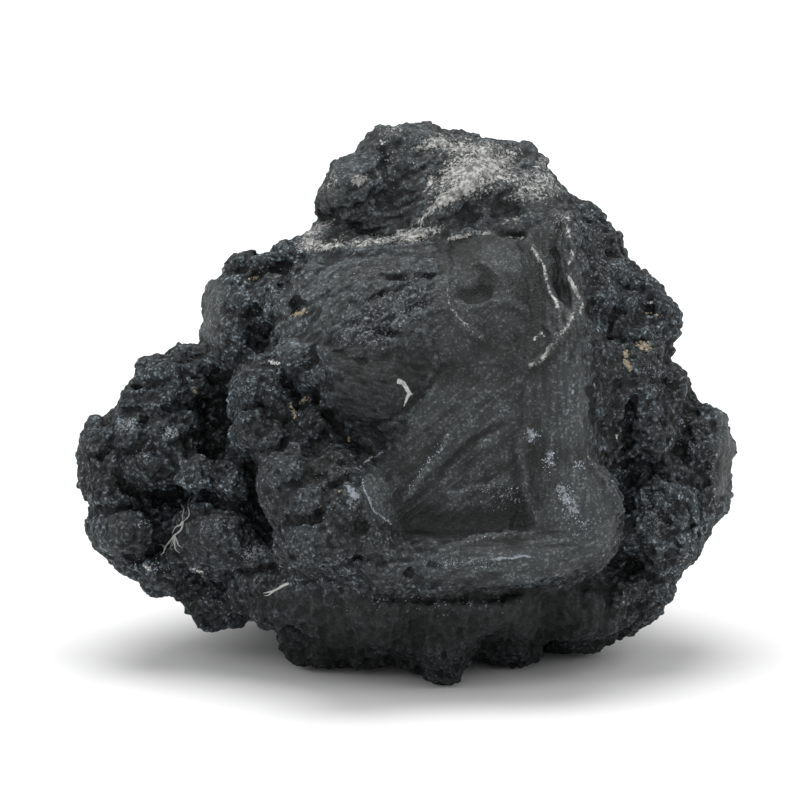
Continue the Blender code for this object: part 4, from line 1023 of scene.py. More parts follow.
def eased(mesh, times):
    """Rounds off the stone's own edges where the skin is rubbed."""
    points, normals = points_of(mesh), normals_of(mesh)
    across, up, _ = seen(points)
    share = most_of(points, EASED, across, up)
    share = (share * smooth_step(normals @ TOWARD, *EASED_FACES))[:, None]
    joined = joined_points(mesh)
    for _ in range(times):
        points += share * (averaged(points, *joined) - points)
    set_points(mesh, points)


def knobbled(mesh, knobs, amount):
    """Raises round knobs that crowd together."""
    points, normals = points_of(mesh), normals_of(mesh)
    rough = roughness_at(points, normals)
    warped = stirred(points, knobs.size * STIR_SIZE, knobs.size * STIR_REACH, knobs.salt + 50)
    balls = crowded_balls(warped, knobs.size, knobs.least, knobs.salt)
    middle, spread = KNOB_RANGE
    patchy = middle + spread * soft_noise(points, knobs.size * KNOB_PATCHES, knobs.salt + 60)
    shown_share = 1 + (knobs.front - 1) * front_share(points, normals)
    raised(mesh, amount * knobs.height * rough * patchy * shown_share * (balls - KNOB_LEVEL))


def lobed(mesh, amount):
    """Raises the placed lobes. Where two meet, the higher one shows, and a crease is left between them."""
    points = points_of(mesh)
    across, up, _ = seen(points)
    across, up = wavering(points, across, up, [LOBE_WAVES], WAVE_SIZE, 2, 61)
    lift = np.zeros(len(points))
    for lobe in rows(Lobe, itertools.chain(*LOBES.values())):
        x, y = across - lobe.across, up - lobe.up
        near = np.flatnonzero(x * x + y * y < max(lobe.wide, lobe.high) ** 2)
        along, beside = turned(x[near], y[near], lobe.turn)
        share = np.hypot(along / lobe.wide, beside / lobe.high)
        lift[near] = np.maximum(lift[near], lobe.height * np.sqrt(np.clip(1 - share**2, 0, 1)))
    raised(mesh, amount * front_share(points, normals_of(mesh)) * lift)


def creased(mesh, amount):
    """Raises and sinks the named creases and spots on the side that the viewer sees."""
    points = points_of(mesh)
    across, up, _ = seen(points)
    across, up = wavering(points, across, up, [CREASE_WAVES], WAVE_SIZE, 2, 71)
    ragged = 1 + PIT_RAGGED * layered_noise(points, PIT_WAVES, 2, 79)
    lift = np.zeros(len(points))
    for stroke in STROKES:
        near, offset, passed = near_line(across, up, stroke.points, max(stroke.left, stroke.right))
        share = np.abs(offset) / np.where(offset > 0, stroke.left, stroke.right)
        ends = smooth_step(passed, *CREASE_ENDS) * smooth_step(1 - passed, *CREASE_ENDS)
        lift[near] += stroke.height * np.clip(1 - share, 0, 1) ** CREASE_POWER * ends
    for spot in SPOTS:
        along, beside = turned(across - spot.across, up - spot.up, spot.turn)
        share = np.hypot(along / spot.wide, beside / spot.high) * ragged
        lift += spot.height * smooth_step(PIT_EDGE[0] - share, 0, PIT_EDGE[1])
    raised(mesh, amount * front_share(points, normals_of(mesh)) * lift)


def combed(mesh):
    """Raises the fine folds of the worn and drawn-out places, and crumbles the rough ones."""
    points, normals = points_of(mesh), normals_of(mesh)
    rough = roughness_at(points, normals)
    crumbs = CRUMBLED * rough * layered_noise(points, CRUMBLED_SIZE, 2, 95)
    places, height = combed_places(points, normals)
    folds = 1 - 2 * np.abs(layered_noise(stirred(places, *FOLD_STIR, 81), 1.0, 2, 85))
    uneven = SLOW_HEIGHT * layered_noise(points, SLOW_SIZE, 3, 91)
    raised(mesh, height * (folds - FOLD_LEVEL) + uneven + crumbs)


def stood_on_floor(mesh):
    """Lets nothing reach below the level that the stone rests on."""
    points = points_of(mesh)
    points[:, 2] = np.maximum(points[:, 2], -MIDDLE[2])
    set_points(mesh, points)


def relief_of(mesh, reach):
    """How far each vertex stands out from its surroundings, in millimetres. The reach is counted in edges."""
    points = points_of(mesh)
    even = points.copy()
    joined = joined_points(mesh)
    for _ in range(reach):
        even = averaged(even, *joined)
    return ((points - even) * normals_of(mesh)).sum(axis=1)


def powder_at(points, normals, areas, traces):
    """How much powder each point holds, with the painted highlights, reflections and glints drawn like it:
    what lies in the areas and along the traces.
    """
    across, up, _ = seen(points)
    amount = most_of(points, areas, *wavering(points, across, up, POWDER_REACH, POWDER_WAVES, 3, 101))
    whole, ragged = LINE_BROKEN
    broken = np.clip(whole + ragged * layered_noise(points, LINE_BREAKS, 2, 121), 0, 1)
    across, up = wavering(points, across, up, [LINE_REACH], LINE_WAVES, 2, 111)
    for trace in traces:
        near, offset, _ = near_line(across, up, trace.points, trace.width)
        share = trace.amount * smooth_step(1 - np.abs(offset) / trace.width, 0, LINE_SOFTNESS) * broken[near]
        amount[near] = np.maximum(amount[near], share)
    return amount * front_share(points, normals)


def tone_and_shade_at(points, normals):
    """How light the stone is at each point, as a share of its usual lightness, with painted shade on the nose,
    belly, left lobe and underside.
    """
    across, up, _ = seen(points)
    front = front_share(points, normals)
    tone = np.ones(len(points))
    for area in TONES_AND_SHADE:
        tone *= 1 + area.amount * area_share(across, up, area) * front
    return tone


def panel_regions(points, faces):
    """Shares the faces out evenly over panels: three in front from left to right, and two behind."""
    middles = points[faces].mean(axis=1)
    split = np.quantile(middles @ TOWARD, 2 / 5)
    ahead = np.flatnonzero(middles @ TOWARD >= split)
    behind = np.flatnonzero(middles @ TOWARD < split)
    left, right = np.quantile(middles[ahead, 0], (1 / 3, 2 / 3))
    half = np.quantile(middles[behind, 0], 1 / 2)
    return {
        "skin_front_left": ahead[middles[ahead, 0] < left],
        "skin_front_middle": ahead[(middles[ahead, 0] >= left) & (middles[ahead, 0] < right)],
        "skin_front_right": ahead[middles[ahead, 0] >= right],
        "skin_back_left": behind[middles[behind, 0] < half],
        "skin_back_right": behind[middles[behind, 0] >= half],
    }


def faces_of(mesh):
    """The corners of each face, for a mesh whose faces all have one number of corners."""
    corners = np.empty(len(mesh.loops), np.int32)
    mesh.loops.foreach_get("vertex_index", corners)
    return corners.reshape(len(mesh.polygons), -1)


class HOWLITE_OT_skin(bpy.types.Operator):
    """Makes the nodule's fine skin over its solid, in panels that meet edge to edge"""

    bl_idname = "howlite.skin"
    bl_label = "Nodule skin"

    def execute(self, context):
        settings = context.scene.howlite_skin
        mesh = evaluated(
            frame["nodes"][NODE].data.copy(),
            ("WELD", {"merge_threshold": WELDED}),
            ("SUBSURF", {"levels": 1, "render_levels": 1}),
            ("REMESH", {"mode": "VOXEL", "voxel_size": settings.start_grid}),
            ("SMOOTH", {"factor": START_SHARE, "iterations": START_TIMES}),
        )
        eased(mesh, settings.rubbed)
        knobbled(mesh, KNOBS[0], settings.knobs)
        lobed(mesh, settings.lobes)
        mesh = remeshed(mesh, settings.middle_grid)
        creased(mesh, settings.creases)
        knobbled(mesh, KNOBS[1], settings.knobs)
        mesh = remeshed(mesh, settings.middle_grid)
        knobbled(mesh, KNOBS[2], settings.knobs)
        mesh = remeshed(mesh, settings.grid)
        knobbled(mesh, KNOBS[3], settings.knobs)
        combed(mesh)
        mesh = with_fewer_triangles(mesh, settings.triangles)
        stood_on_floor(mesh)
        points, normals, faces = points_of(mesh), normals_of(mesh), faces_of(mesh)
        rough = roughness_at(points, normals)
        places, _ = combed_places(points, normals)
        kept = {
            "worn": 1 - rough,
            "relief": relief_of(mesh, GRAIN_REACH),
            "hollow": relief_of(mesh, KNOB_REACH),
            "dust": powder_at(points, normals, DUST_AND_PAINTED_LIGHT, DUST_AND_HIGHLIGHT_LINES),
            "frost": powder_at(points, normals, FROST_AND_GLINTS, FROST_AND_GLINT_LINES),
            "tone": tone_and_shade_at(points, normals),
        }
        finish = skin_finish(context.scene.howlite_finish)
        for name, region in panel_regions(points, faces).items():
            used, corners = np.unique(faces[region], return_inverse=True)
            panel = mesh_from(name, points[used], corners.reshape(-1, faces.shape[1]))
            for value, numbers in kept.items():
                give_values(panel, value, numbers[used])
            give_vectors(panel, "combed", places[used])
            piece = shown(name, panel, finish)
            panel.normals_split_custom_set_from_vertices(normals[used].tolist())
            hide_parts(NODE)
        return {"FINISHED"}


# Small things on the skin

# The white fibre's strands, the white chip on the nose and the sliver at the foot: half their width and
# thickness, and where they lie in the front view
FIBRE = rows(Strand, [
    (0.14, 0.13, [(-35, -16.2), (-35.3, -17.6), (-35.1, -19), (-35.5, -19.7), (-36.2, -20.3)]),
    (0.13, 0.12, [(-36.5, -17.4), (-36, -18.2), (-36.2, -19.2), (-36.2, -20.3)]),
    (0.2, 0.16, [(-36.1, -20.2), (-36.6, -20.8), (-37.4, -21.2), (-38, -22.3)]),
    (0.18, 0.15, [(-36.1, -20.4), (-36.5, -21.6), (-37.4, -22.4), (-38, -22.6)]),
    (0.22, 0.18, [(-37.4, -22.4), (-38.2, -23.4), (-39, -24.4), (-39.4, -25.4), (-40, -25.8)]),
    (0.12, 0.11, [(-37.6, -22.6), (-37.7, -23.8), (-38.1, -24.4)]),
    (0.14, 0.13, [(-37.6, -22.5), (-37.1, -23.6), (-36.9, -24.2), (-36.3, -24.6)]),
    (0.11, 0.11, [(-37.5, -22.8), (-37.5, -24.6), (-37, -25.3), (-36.6, -25.5)]),
    (0.1, 0.1, [(-37.7, -23), (-38.1, -24), (-38.4, -25)]),
    (0.12, 0.11, [(-39.1, -24.7), (-39.6, -24.2), (-40.2, -24.1)]),
])
CHIP = rows(Strand, [
    (0.5, 0.1, [(-0.5, 3.1), (0, 3), (0.5, 2.9), (1, 2.8)]),
    (0.5, 0.1, [(0.3, 2.8), (0.8, 2.2), (1.2, 1.6), (1.7, 1.1), (2.1, 0.9)]),
    (0.34, 0.1, [(1.6, 1.2), (1.3, 0.7), (1.1, 0.2), (0.9, -0.4), (0.6, -1.1)]),
])
SLIVER = rows(Strand, [
    (0.24, 0.1, [(-18.5, -30.5), (-19.6, -31), (-20.6, -31.6), (-21.8, -32), (-22.8, -32.2)]),
    (0.16, 0.1, [(-20.2, -31.3), (-21.4, -32.1), (-22.2, -32.7)]),
    (0.1, 0.08, [(-21, -31.9), (-21.9, -32.5), (-22.7, -32.6)]),
])

CRUMBS = rows(Cluster, [
    ("right notch", 60, 0.26, 40.6, 9, 1.5, 0.9, -10),
    ("right crescent top", 22, 0.22, 37.5, 7.6, 0.45, 0.9, 0),
    ("right crescent", 34, 0.24, 37.9, 5.8, 0.5, 1.0, 35),
    ("shoulder", 34, 0.2, -16.8, 14.4, 1.5, 0.5, 15),
    ("shoulder top", 14, 0.17, -24.4, 20.2, 0.9, 0.4, 25),
    ("cheek", 26, 0.18, -17.7, -1.8, 0.5, 1.4, 15),
    ("cheek right", 18, 0.17, -16, -0.1, 1.0, 0.4, 35),
    ("lobe", 12, 0.17, -34.2, 1.6, 0.35, 0.8, 15),
    ("nose corner", 6, 0.2, -8.5, -6.4, 0.3, 0.5, 20),
    ("right ear", 10, 0.16, 42.4, 14.2, 1.6, 0.25, -10),
    ("belly 1", 6, 0.15, -13.4, -17.8, 0.4, 0.3),
    ("belly 2", 5, 0.14, -10, -15.2, 0.3, 0.3),
])
WHITE_CRUMBS = rows(Cluster, [
    ("cheek top", 30, 0.22, -21, 6.2, 1.1, 0.3, -12),
    ("ear", 8, 0.17, 41.7, 16.2, 0.5, 0.3, 20),
    ("low left", 20, 0.2, -42, -27.9, 1.0, 0.35, -30),
    ("low middle", 12, 0.17, -33.6, -28.5, 1.1, 0.25, -25),
    ("side", 4, 0.2, 36.1, -6, 0.2, 0.35, -20),
    ("crown", 8, 0.15, -3, 43, 0.5, 0.4),
])
# Tiny crystals whose pale, glossy finish is a painted glint, in clusters where facets sparkle
GLINTS = rows(Cluster, [
    ("lobe 1", 40, 0.09, -45, -4, 2, 1.2),
    ("lobe 2", 40, 0.09, -38.5, -5.5, 1.5, 1.1),
    ("lobe 3", 30, 0.08, -42.6, -9, 3, 1.2),
    ("low ball", 24, 0.08, -42.4, -20.6, 1.4, 1.0),
    ("inner", 60, 0.09, -25, -25.6, 4, 1.4, 10),
    ("low left", 60, 0.09, -41, -28, 4, 1.6, -20),
    ("low middle", 40, 0.09, -33, -28.8, 2.4, 1.2, -20),
    ("column 1", 26, 0.1, 22, -6, 1.5, 1.1),
    ("column 2", 34, 0.09, 25, -10.4, 1.6, 2.2),
    ("column 3", 70, 0.1, 28, -16.6, 1.8, 3.6, 20),
    ("column 4", 20, 0.09, 30, -10.8, 1.4, 0.9),
    ("column 5", 40, 0.08, 31, -20.6, 4, 2.2),
    ("rim", 60, 0.08, 12, -27, 9, 1.2, 2),
    ("panel", 50, 0.08, 17, -16, 4, 3),
    ("ridge", 40, 0.08, 4.6, -10.6, 6.4, 0.7, 55),
    ("crown", 60, 0.09, -2, 40, 6, 5),
    ("shoulder", 60, 0.08, -21, 16, 6, 7),
    ("band", 60, 0.08, -3, 15, 9, 4, 30),
    ("cheek", 60, 0.08, -19, 3, 8, 7),
    ("belly", 50, 0.08, -14, -15, 9, 8),
    ("right top", 70, 0.08, 36, 22, 7, 9),
    ("right", 70, 0.08, 43, 4, 5, 8),
    ("fan", 80, 0.08, 43, -20, 6, 8),
    ("side", 40, 0.08, 49, -7, 5, 5),
    ("foot", 40, 0.08, 8, -34, 20, 2.4),
])

OCTAHEDRON = (
    np.array([(1, 0, 0), (-1, 0, 0), (0, 1, 0), (0, -1, 0), (0, 0, 1), (0, 0, -1)], float),
    np.array([(0, 2, 4), (2, 1, 4), (1, 3, 4), (3, 0, 4), (2, 0, 5), (1, 2, 5), (3, 1, 5), (0, 3, 5)]),
)


def icosahedron():
    """The corners and faces of a ball of twenty faces, radius 1."""
    bm = bmesh.new()
    bmesh.ops.create_icosphere(bm, subdivisions=1, radius=1)
    corners = np.array([vert.co[:] for vert in bm.verts])
    faces = np.array([[vert.index for vert in face.verts] for face in bm.faces])
    bm.free()
    return corners, faces


def front_panels():
    """The finished panels that face the viewer, in the order of their names."""
    panels = [obj for obj in bpy.data.objects if obj.name.startswith("skin_front")]
    if not panels:
        raise RuntimeError("make the nodule's skin first")
    return sorted(panels, key=lambda obj: obj.name)


def on_skin(context, across, up):
    """Where the skin shows at this place in the front view, and its way out, or None beside the stone."""
    near, far = placed(across, up, np.array([VIEW_REACH, -VIEW_REACH]))
    start = Vector((near + MIDDLE) * MM)
    graph = context.evaluated_depsgraph_get()
    hit, place, normal, _, obj, _ = context.scene.ray_cast(graph, start, Vector(far - near).normalized())
    if not hit or not obj.name.startswith("skin"):
        return None
    return np.array(place) / MM - MIDDLE, np.array(normal)


def bridging(depths):
    """The depths along a strand, with the dips between them partly filled."""
    level = depths
    for _ in range(STRAND_BRIDGED):
        padded = np.pad(level, 1, mode="edge")
        level = np.maximum((padded[:-2] + padded[1:-1] + padded[2:]) / 3, depths)
    return level


def tube_points(context, name, strand, sides):
    """The rings of a tube that lies on the skin and thins out to its ends, then the middles of its ends."""
    line = smooth_line(strand.points, STRAND_STEPS)
    found = [on_skin(context, across, up) for across, up in line]
    if None in found:
        raise RuntimeError(f"{name} reaches past the stone's outline")
    places, ways = (np.array(part) for part in zip(*found))
    places = placed(line[:, 0], line[:, 1], bridging(places @ TOWARD) + strand.thick)
    along = unit(np.gradient(places, axis=0))
    out = ways + STRAND_LEANS * TOWARD
    out = unit(out - (out * along).sum(axis=1)[:, None] * along)
    side = np.cross(along, out)
    turns = (np.arange(sides) * 2 * np.pi / sides)[None, :, None]
    ring = side[:, None] * np.cos(turns) * strand.wide + out[:, None] * np.sin(turns) * strand.thick
    share = np.linspace(0, 1, len(line))
    taper = smooth_step(share, *STRAND_START) * (1 - STRAND_THINS * share**2)
    rings = places[:, None] + ring * taper[:, None, None]
    return np.vstack([rings.reshape(-1, 3), places[:1], places[-1:]])


def tube_faces(count, sides):
    """The faces of a tube whose points are as many rings as this and then the middles of its ends."""
    row, column = np.arange(count - 1)[:, None] * sides, np.arange(sides)[None]
    a, b = row + column, row + (column + 1) % sides
    walls = np.stack([np.stack([a, b, b + sides], -1), np.stack([a, b + sides, a + sides], -1)], 2)
    this, following = np.arange(sides), (np.arange(sides) + 1) % sides
    last, middles = (count - 1) * sides, count * sides
    caps = [
        np.column_stack([following, this, np.full(sides, middles)]),
        np.column_stack([last + this, last + following, np.full(sides, middles + 1)]),
    ]
    return np.vstack([walls.reshape(-1, 3), *caps])


def strands_mesh(context, name, strands, sides=6):
    """Flat-sided tubes that lie on the skin, bridge its creases and thin out to their ends."""
    tubes = [tube_points(context, name, strand, sides) for strand in strands]
    starts = np.cumsum([0, *map(len, tubes)])
    faces = [tube_faces((len(tube) - 2) // sides, sides) + start for tube, start in zip(tubes, starts)]
    return mesh_from(name, np.vstack(tubes), np.vstack(faces))


def sprinkled(mesh, rng, how_many):
    """Points all over the mesh, at random and evenly, with the skin's way out at each."""
    corners = faces_of(mesh)[:, :3]
    points, normals = points_of(mesh), normals_of(mesh)
    a, b, c = points[corners[:, 0]], points[corners[:, 1]], points[corners[:, 2]]
    areas = np.linalg.norm(np.cross(b - a, c - a), axis=1)
    chosen = rng.choice(len(corners), how_many, p=areas / areas.sum())
    u, v = rng.random((2, how_many))
    u, v = np.where(u + v > 1, 1 - u, u), np.where(u + v > 1, 1 - v, v)
    shares = np.column_stack([1 - u - v, u, v])[:, :, None]
    ways = unit((normals[corners[chosen]] * shares).sum(axis=1))
    return (points[corners[chosen]] * shares).sum(axis=1), ways


def grains_mesh(name, rng, centres, ways, radii, flat, shape):
    """Uneven grains that lie on the skin, each sunk partly into it."""
    corners, faces = shape
    count = len(centres)
    side = unit(np.cross(ways, rng.normal(size=(count, 3))))
    other = np.cross(ways, side)
    made = corners[None] * rng.uniform(*CORNER_RANGE, (count, len(corners), 1))
    sizes = [rng.uniform(*span, count) for span in (WIDTH_RANGE, WIDTH_RANGE, flat)]
    made = made * np.column_stack(sizes)[:, None, :]
    spun = made[:, :, :1] * side[:, None] + made[:, :, 1:2] * other[:, None] + made[:, :, 2:] * ways[:, None]
    points = centres[:, None] + spun * radii[:, None, None]
    indices = faces[None] + (np.arange(count) * len(corners))[:, None, None]
    mesh = mesh_from(name, points.reshape(-1, 3), indices.reshape(-1, 3))
    give_values(mesh, "shade", np.repeat(rng.random(count), len(corners)))
    return mesh


def clusters_mesh(context, name, rng, clusters, times, flat, shape):
    """Clusters of grains, thickest at their middles."""
    centres, ways, radii = [], [], []
    for cluster in clusters:
        for _ in range(cluster.count):
            away, angle = rng.random(), rng.uniform(0, 2 * math.pi)
            x, y = cluster.wide * away * math.cos(angle), cluster.high * away * math.sin(angle)
            radius = cluster.size * times * rng.uniform(*CLUSTER_RANGE)
            x, y = turned(x, y, -cluster.turn)
            found = on_skin(context, cluster.across + x, cluster.up + y)
            if found:
                place, way = found
                centres.append(place + way * radius * GRAIN_PROUD)
                ways.append(way)
                radii.append(radius)
    return grains_mesh(name, rng, np.array(centres), np.array(ways), np.array(radii), flat, shape)


class HOWLITE_OT_fibre(bpy.types.Operator):
    """Lays the white branching fibre over the left lobe"""

    bl_idname = "howlite.fibre"
    bl_label = "White fibre"

    def execute(self, context):
        mesh = strands_mesh(context, "white_fibre", FIBRE)
        shown("white_fibre", mesh, pale_finish("white_thread", context.scene.howlite_finish.white, 0.6))
        return {"FINISHED"}


class HOWLITE_OT_slivers(bpy.types.Operator):
    """Lays the white chip on the nose and the white sliver at the foot"""

    bl_idname = "howlite.slivers"
    bl_label = "White chip and sliver"

    def execute(self, context):
        finish = pale_finish("white_flake", context.scene.howlite_finish.white, 0.45)
        shown("white_chip", strands_mesh(context, "white_chip", CHIP, 8), finish)
        shown("white_sliver", strands_mesh(context, "white_sliver", SLIVER, 8), finish)
        return {"FINISHED"}


class HOWLITE_OT_crumbs(bpy.types.Operator):
    """Drops the tan and white crumbs into the creases"""

    bl_idname = "howlite.crumbs"
    bl_label = "Crumbs"

    def execute(self, context):
        rng = np.random.default_rng(CRUMB_SEED)
        colours, times = context.scene.howlite_finish, context.scene.howlite_small.crumbs
        shape = icosahedron()
        tan = clusters_mesh(context, "tan_crumbs", rng, CRUMBS, times, TAN_FLATNESS, shape)
        white = clusters_mesh(context, "white_crumbs", rng, WHITE_CRUMBS, times, PALE_FLATNESS, shape)
        shown("tan_crumbs", tan, pale_finish("tan_crumb", colours.tan, 0.7), smooth=False)
        shown("white_crumbs", white, pale_finish("white_crumb", colours.white, 0.7), smooth=False)
        return {"FINISHED"}


class HOWLITE_OT_glints(bpy.types.Operator):
    """Scatters tiny bright crystals over the skin, their pale colour a painted glint"""

    bl_idname = "howlite.glints"
    bl_label = "Glints"

    def execute(self, context):
        rng = np.random.default_rng(GLINT_SEED)
        times = context.scene.howlite_small.glints
        mesh = clusters_mesh(context, "glint_crystals", rng, GLINTS, times, GLINT_FLATNESS, OCTAHEDRON)
        finish = pale_finish("glint_crystal", context.scene.howlite_finish.glint, 0.25)
        shown("glint_crystals", mesh, finish, smooth=False)
        return {"FINISHED"}


class HOWLITE_OT_scuffs(bpy.types.Operator):
    """Rubs loose pale grains onto the dusty edges"""

    bl_idname = "howlite.scuffs"
    bl_label = "Pale grains"

    # Rubs loose pale grains onto the dusty edges and the crests with painted highlights
    def execute(self, context):
        settings = context.scene.howlite_small
        rng = np.random.default_rng(LOOSE_SEED)
        found = [sprinkled(panel.data, rng, GRAIN_TRIES) for panel in front_panels()]
        points, ways = (np.vstack(part) for part in zip(*found))
        dust = powder_at(points, ways, DUST_AND_PAINTED_LIGHT, DUST_AND_HIGHLIGHT_LINES)
        kept = np.flatnonzero(rng.random(len(points)) < GRAIN_SHARE * dust**GRAIN_POWER)
        if len(kept) > settings.scuffs:
            kept = np.sort(rng.choice(kept, settings.scuffs, replace=False))
        points, ways = points[kept], ways[kept]
        radii = settings.scuff_size / MM * rng.uniform(*LOOSE_RANGE, len(kept))
        mesh = grains_mesh("pale_grains", rng, points, ways, radii, PALE_FLATNESS, OCTAHEDRON)
        finish = pale_finish("pale_grain", context.scene.howlite_finish.dust, 0.8)
        shown("pale_grains", mesh, finish, smooth=False)
        return {"FINISHED"}


# Finishes

class Finish:
    """A material, put together node by node."""

    def __init__(self, name):
        self.material = bpy.data.materials.new(name)
        self.material.use_nodes = True
        self.tree = self.material.node_tree
        self.shader = self.tree.nodes["Principled BSDF"]
        self.where = self.tree.nodes.new("ShaderNodeTexCoord").outputs["Object"]

    def node(self, kind, **inputs):
        """A node whose inputs are numbers, colours or other nodes' outputs. Underscores stand for spaces."""
        made = self.tree.nodes.new(kind)
        for name, value in inputs.items():
            self.feed(made.inputs[name.replace("_", " ")], value)
        return made

    def feed(self, socket, value):
        if isinstance(value, bpy.types.NodeSocket):
            self.tree.links.new(value, socket)
        else:
            socket.default_value = value

    def noise(self, size, detail=2.0, where=None, roughness=0.5):
        """Noise with bumps of this size, in the unit of the place that it is read at."""
        settings = {"Scale": 1 / size, "Detail": detail, "Roughness": roughness}
        return self.node("ShaderNodeTexNoise", Vector=where or self.where, **settings).outputs["Fac"]

    def grains(self, size):
        """A number of its own for each grain of this size, mostly low and seldom high."""
        cells = self.node("ShaderNodeTexVoronoi", Vector=self.where, Scale=1 / size)
        number = self.node("ShaderNodeSeparateColor", Color=cells.outputs["Color"]).outputs[0]
        return self.maths("POWER", number, SELDOM_HIGH)

    def attribute(self, name, output="Fac"):
        node = self.tree.nodes.new("ShaderNodeAttribute")
        node.attribute_name = name
        return node.outputs[output]

    def step(self, value, low, high, from_value=0.0, to_value=1.0):
        """From one value to another as the given value goes from low to high."""
        node = self.node(
            "ShaderNodeMapRange", Value=value, From_Min=low, From_Max=high, To_Min=from_value, To_Max=to_value,
        )
        node.interpolation_type = "SMOOTHSTEP"
        return node.outputs["Result"]

    def maths(self, operation, a, b):
        node = self.tree.nodes.new("ShaderNodeMath")
        node.operation = operation
        self.feed(node.inputs[0], a)
        self.feed(node.inputs[1], b)
        return node.outputs["Value"]

    def times(self, a, b):
        return self.maths("MULTIPLY", a, b)

    def between(self, share, low, high, kind):
        """A colour or a number between two others."""
        node = self.tree.nodes.new("ShaderNodeMix")
        node.data_type = kind
        first, second, made = MIX_SOCKETS[kind]
        for socket, value in ((0, share), (first, low), (second, high)):
            self.feed(node.inputs[socket], value)
        return node.outputs[made]

    def mix(self, share, low, high):
        return self.between(share, low, high, "RGBA")

    def mix_number(self, share, low, high):
        return self.between(share, low, high, "FLOAT")

    def powdered(self, name, salt):
        """How much of the skin a powder covers: grain by grain, and more where there is more of it. The
        powders are dust and frost, with painted highlights and glints among them.
        """
        amount = self.attribute(name)
        covered = self.maths("ADD", salt, self.times(amount, POWDER_GAIN))
        return self.times(self.step(covered, *POWDER_COVERS), self.step(amount, *POWDER_STARTS))

    def scaled(self, colour, times):
        """A colour made lighter or darker."""
        node = self.tree.nodes.new("ShaderNodeVectorMath")
        node.operation = "SCALE"
        self.feed(node.inputs[0], colour)
        self.feed(node.inputs["Scale"], times)
        return node.outputs[0]

    def bump(self, height, distance, under=None):
        """Fine relief of this depth, on top of what is under it."""
        node = self.node("ShaderNodeBump", Height=height, Distance=distance, Strength=1.0)
        if under is not None:
            self.feed(node.inputs["Normal"], under)
        return node.outputs["Normal"]


def solid(colour, times=1.0):
    return (*[channel * times for channel in colour], 1)


def skin_finish(colours):
    """Charcoal stone: cool and grainy where it is rough, smoother where it is worn, and pale with dust, with
    painted shade in its hollows and underside and painted highlights and glints on what stands out.
    """
    finish = Finish("charcoal_skin")
    worn, relief = finish.attribute("worn"), finish.attribute("relief")
    drawn = finish.attribute("combed", "Vector")
    clouds = finish.noise(CLOUD_SIZE, 3)
    grains, worn_grains = finish.grains(GRAIN_SIZE), finish.grains(WORN_GRAIN_SIZE)
    grit = finish.noise(GRAIN_SIZE, 3, roughness=0.6)
    threads = finish.noise(THREAD_SIZE, 3, drawn)
    rough_colour = finish.mix(finish.step(clouds, 0.35, 0.65), solid(colours.charcoal), solid(colours.slate))
    worn_clouds = finish.step(clouds, 0.3, 0.7)
    worn_colour = finish.mix(worn_clouds, *[solid(colours.worn, times) for times in WORN_CLOUDS])
    colour = finish.mix(worn, rough_colour, worn_colour)
    # Grain speckle, whose seldom lightest grains are painted glints of tiny facets
    threads_and_glints = finish.times(finish.step(threads, *THREADED), finish.step(worn_grains, *WORN_GRAINS_AND_GLINTS))
    speckles_and_glints = finish.times(finish.step(grit, *GRITTY), finish.step(grains, *GRAINS_AND_GLINTS))
    speckle_and_glints = finish.mix_number(worn, speckles_and_glints, threads_and_glints)
    # Painted shade in the broad hollows and in the gaps between grains, and painted highlight with some wear
    # on what stands out, times the areas' tone with its painted shade
    sunk = finish.step(finish.attribute("hollow"), *HOLLOW_SHADE)
    light = finish.times(finish.attribute("tone"), finish.times(finish.step(relief, *PROUD_HIGHLIGHT_AND_GAP_SHADE), sunk))
    colour = finish.scaled(colour, finish.times(speckle_and_glints, light))
    salt = finish.noise(SALT_SIZE, 3, roughness=0.7)
    # Pale dust, and painted highlights and reflections along crests and edges
    dust_and_highlight_cover = finish.powdered("dust", salt)
    dust_and_highlight_colour = finish.scaled(colours.dust[:], finish.step(finish.noise(DUST_SIZE), *DUST_FLECKS))
    colour = finish.mix(dust_and_highlight_cover, colour, dust_and_highlight_colour)
    # Cool white frost, partly tiny crystals and partly painted glints and sheen
    colour = finish.mix(finish.powdered("frost", salt), colour, solid(colours.frost))
    finish.feed(finish.shader.inputs["Base Color"], colour)
    uneven = finish.noise(SHEEN_SIZE)
    shine = finish.mix_number(worn, finish.step(uneven, *ROUGH_SHEEN), finish.step(uneven, *WORN_SHEEN))
    finish.feed(finish.shader.inputs["Roughness"], shine)
    finish.shader.inputs["Specular IOR Level"].default_value = SPECULAR
    fine = finish.bump(grit, GRIT_DEPTH)
    finish.feed(finish.shader.inputs["Normal"], finish.bump(threads, THREAD_DEPTH, fine))
    return finish.material


def pale_finish(name, colour, roughness):
    """Pale matter: each grain in its own shade, a little stained here and there."""
    finish = Finish(name)
    shade = finish.step(finish.attribute("shade"), *PALE_SHADES)
    stained = finish.step(finish.noise(STAIN_SIZE, 3), *STAINED)
    shaded = finish.scaled(colour[:], finish.times(shade, stained))
    finish.feed(finish.shader.inputs["Base Color"], shaded)
    dull = finish.step(finish.noise(PALE_SHEEN_SIZE), 0.3, 0.7, roughness, DULLEST)
    finish.feed(finish.shader.inputs["Roughness"], dull)
    finish.feed(finish.shader.inputs["Normal"], finish.bump(finish.noise(PALE_BUMP_SIZE), PALE_BUMP_DEPTH))
    return finish.material


# The table

def table_top(size):
    """A white table under the stone."""
    half = size / 2
    mesh = bpy.data.meshes.new("table_top")
    corners = [(-half, -half, 0), (half, -half, 0), (half, half, 0), (-half, half, 0)]
    mesh.from_pydata(corners, [], [(0, 1, 2, 3)])
    finish = Finish("white_table")
    finish.shader.inputs["Base Color"].default_value = (TABLE_WHITE, TABLE_WHITE, TABLE_WHITE, 1)
    finish.shader.inputs["Roughness"].default_value = DULLEST
    mesh.materials.append(finish.material)
    linked("table_top", mesh)


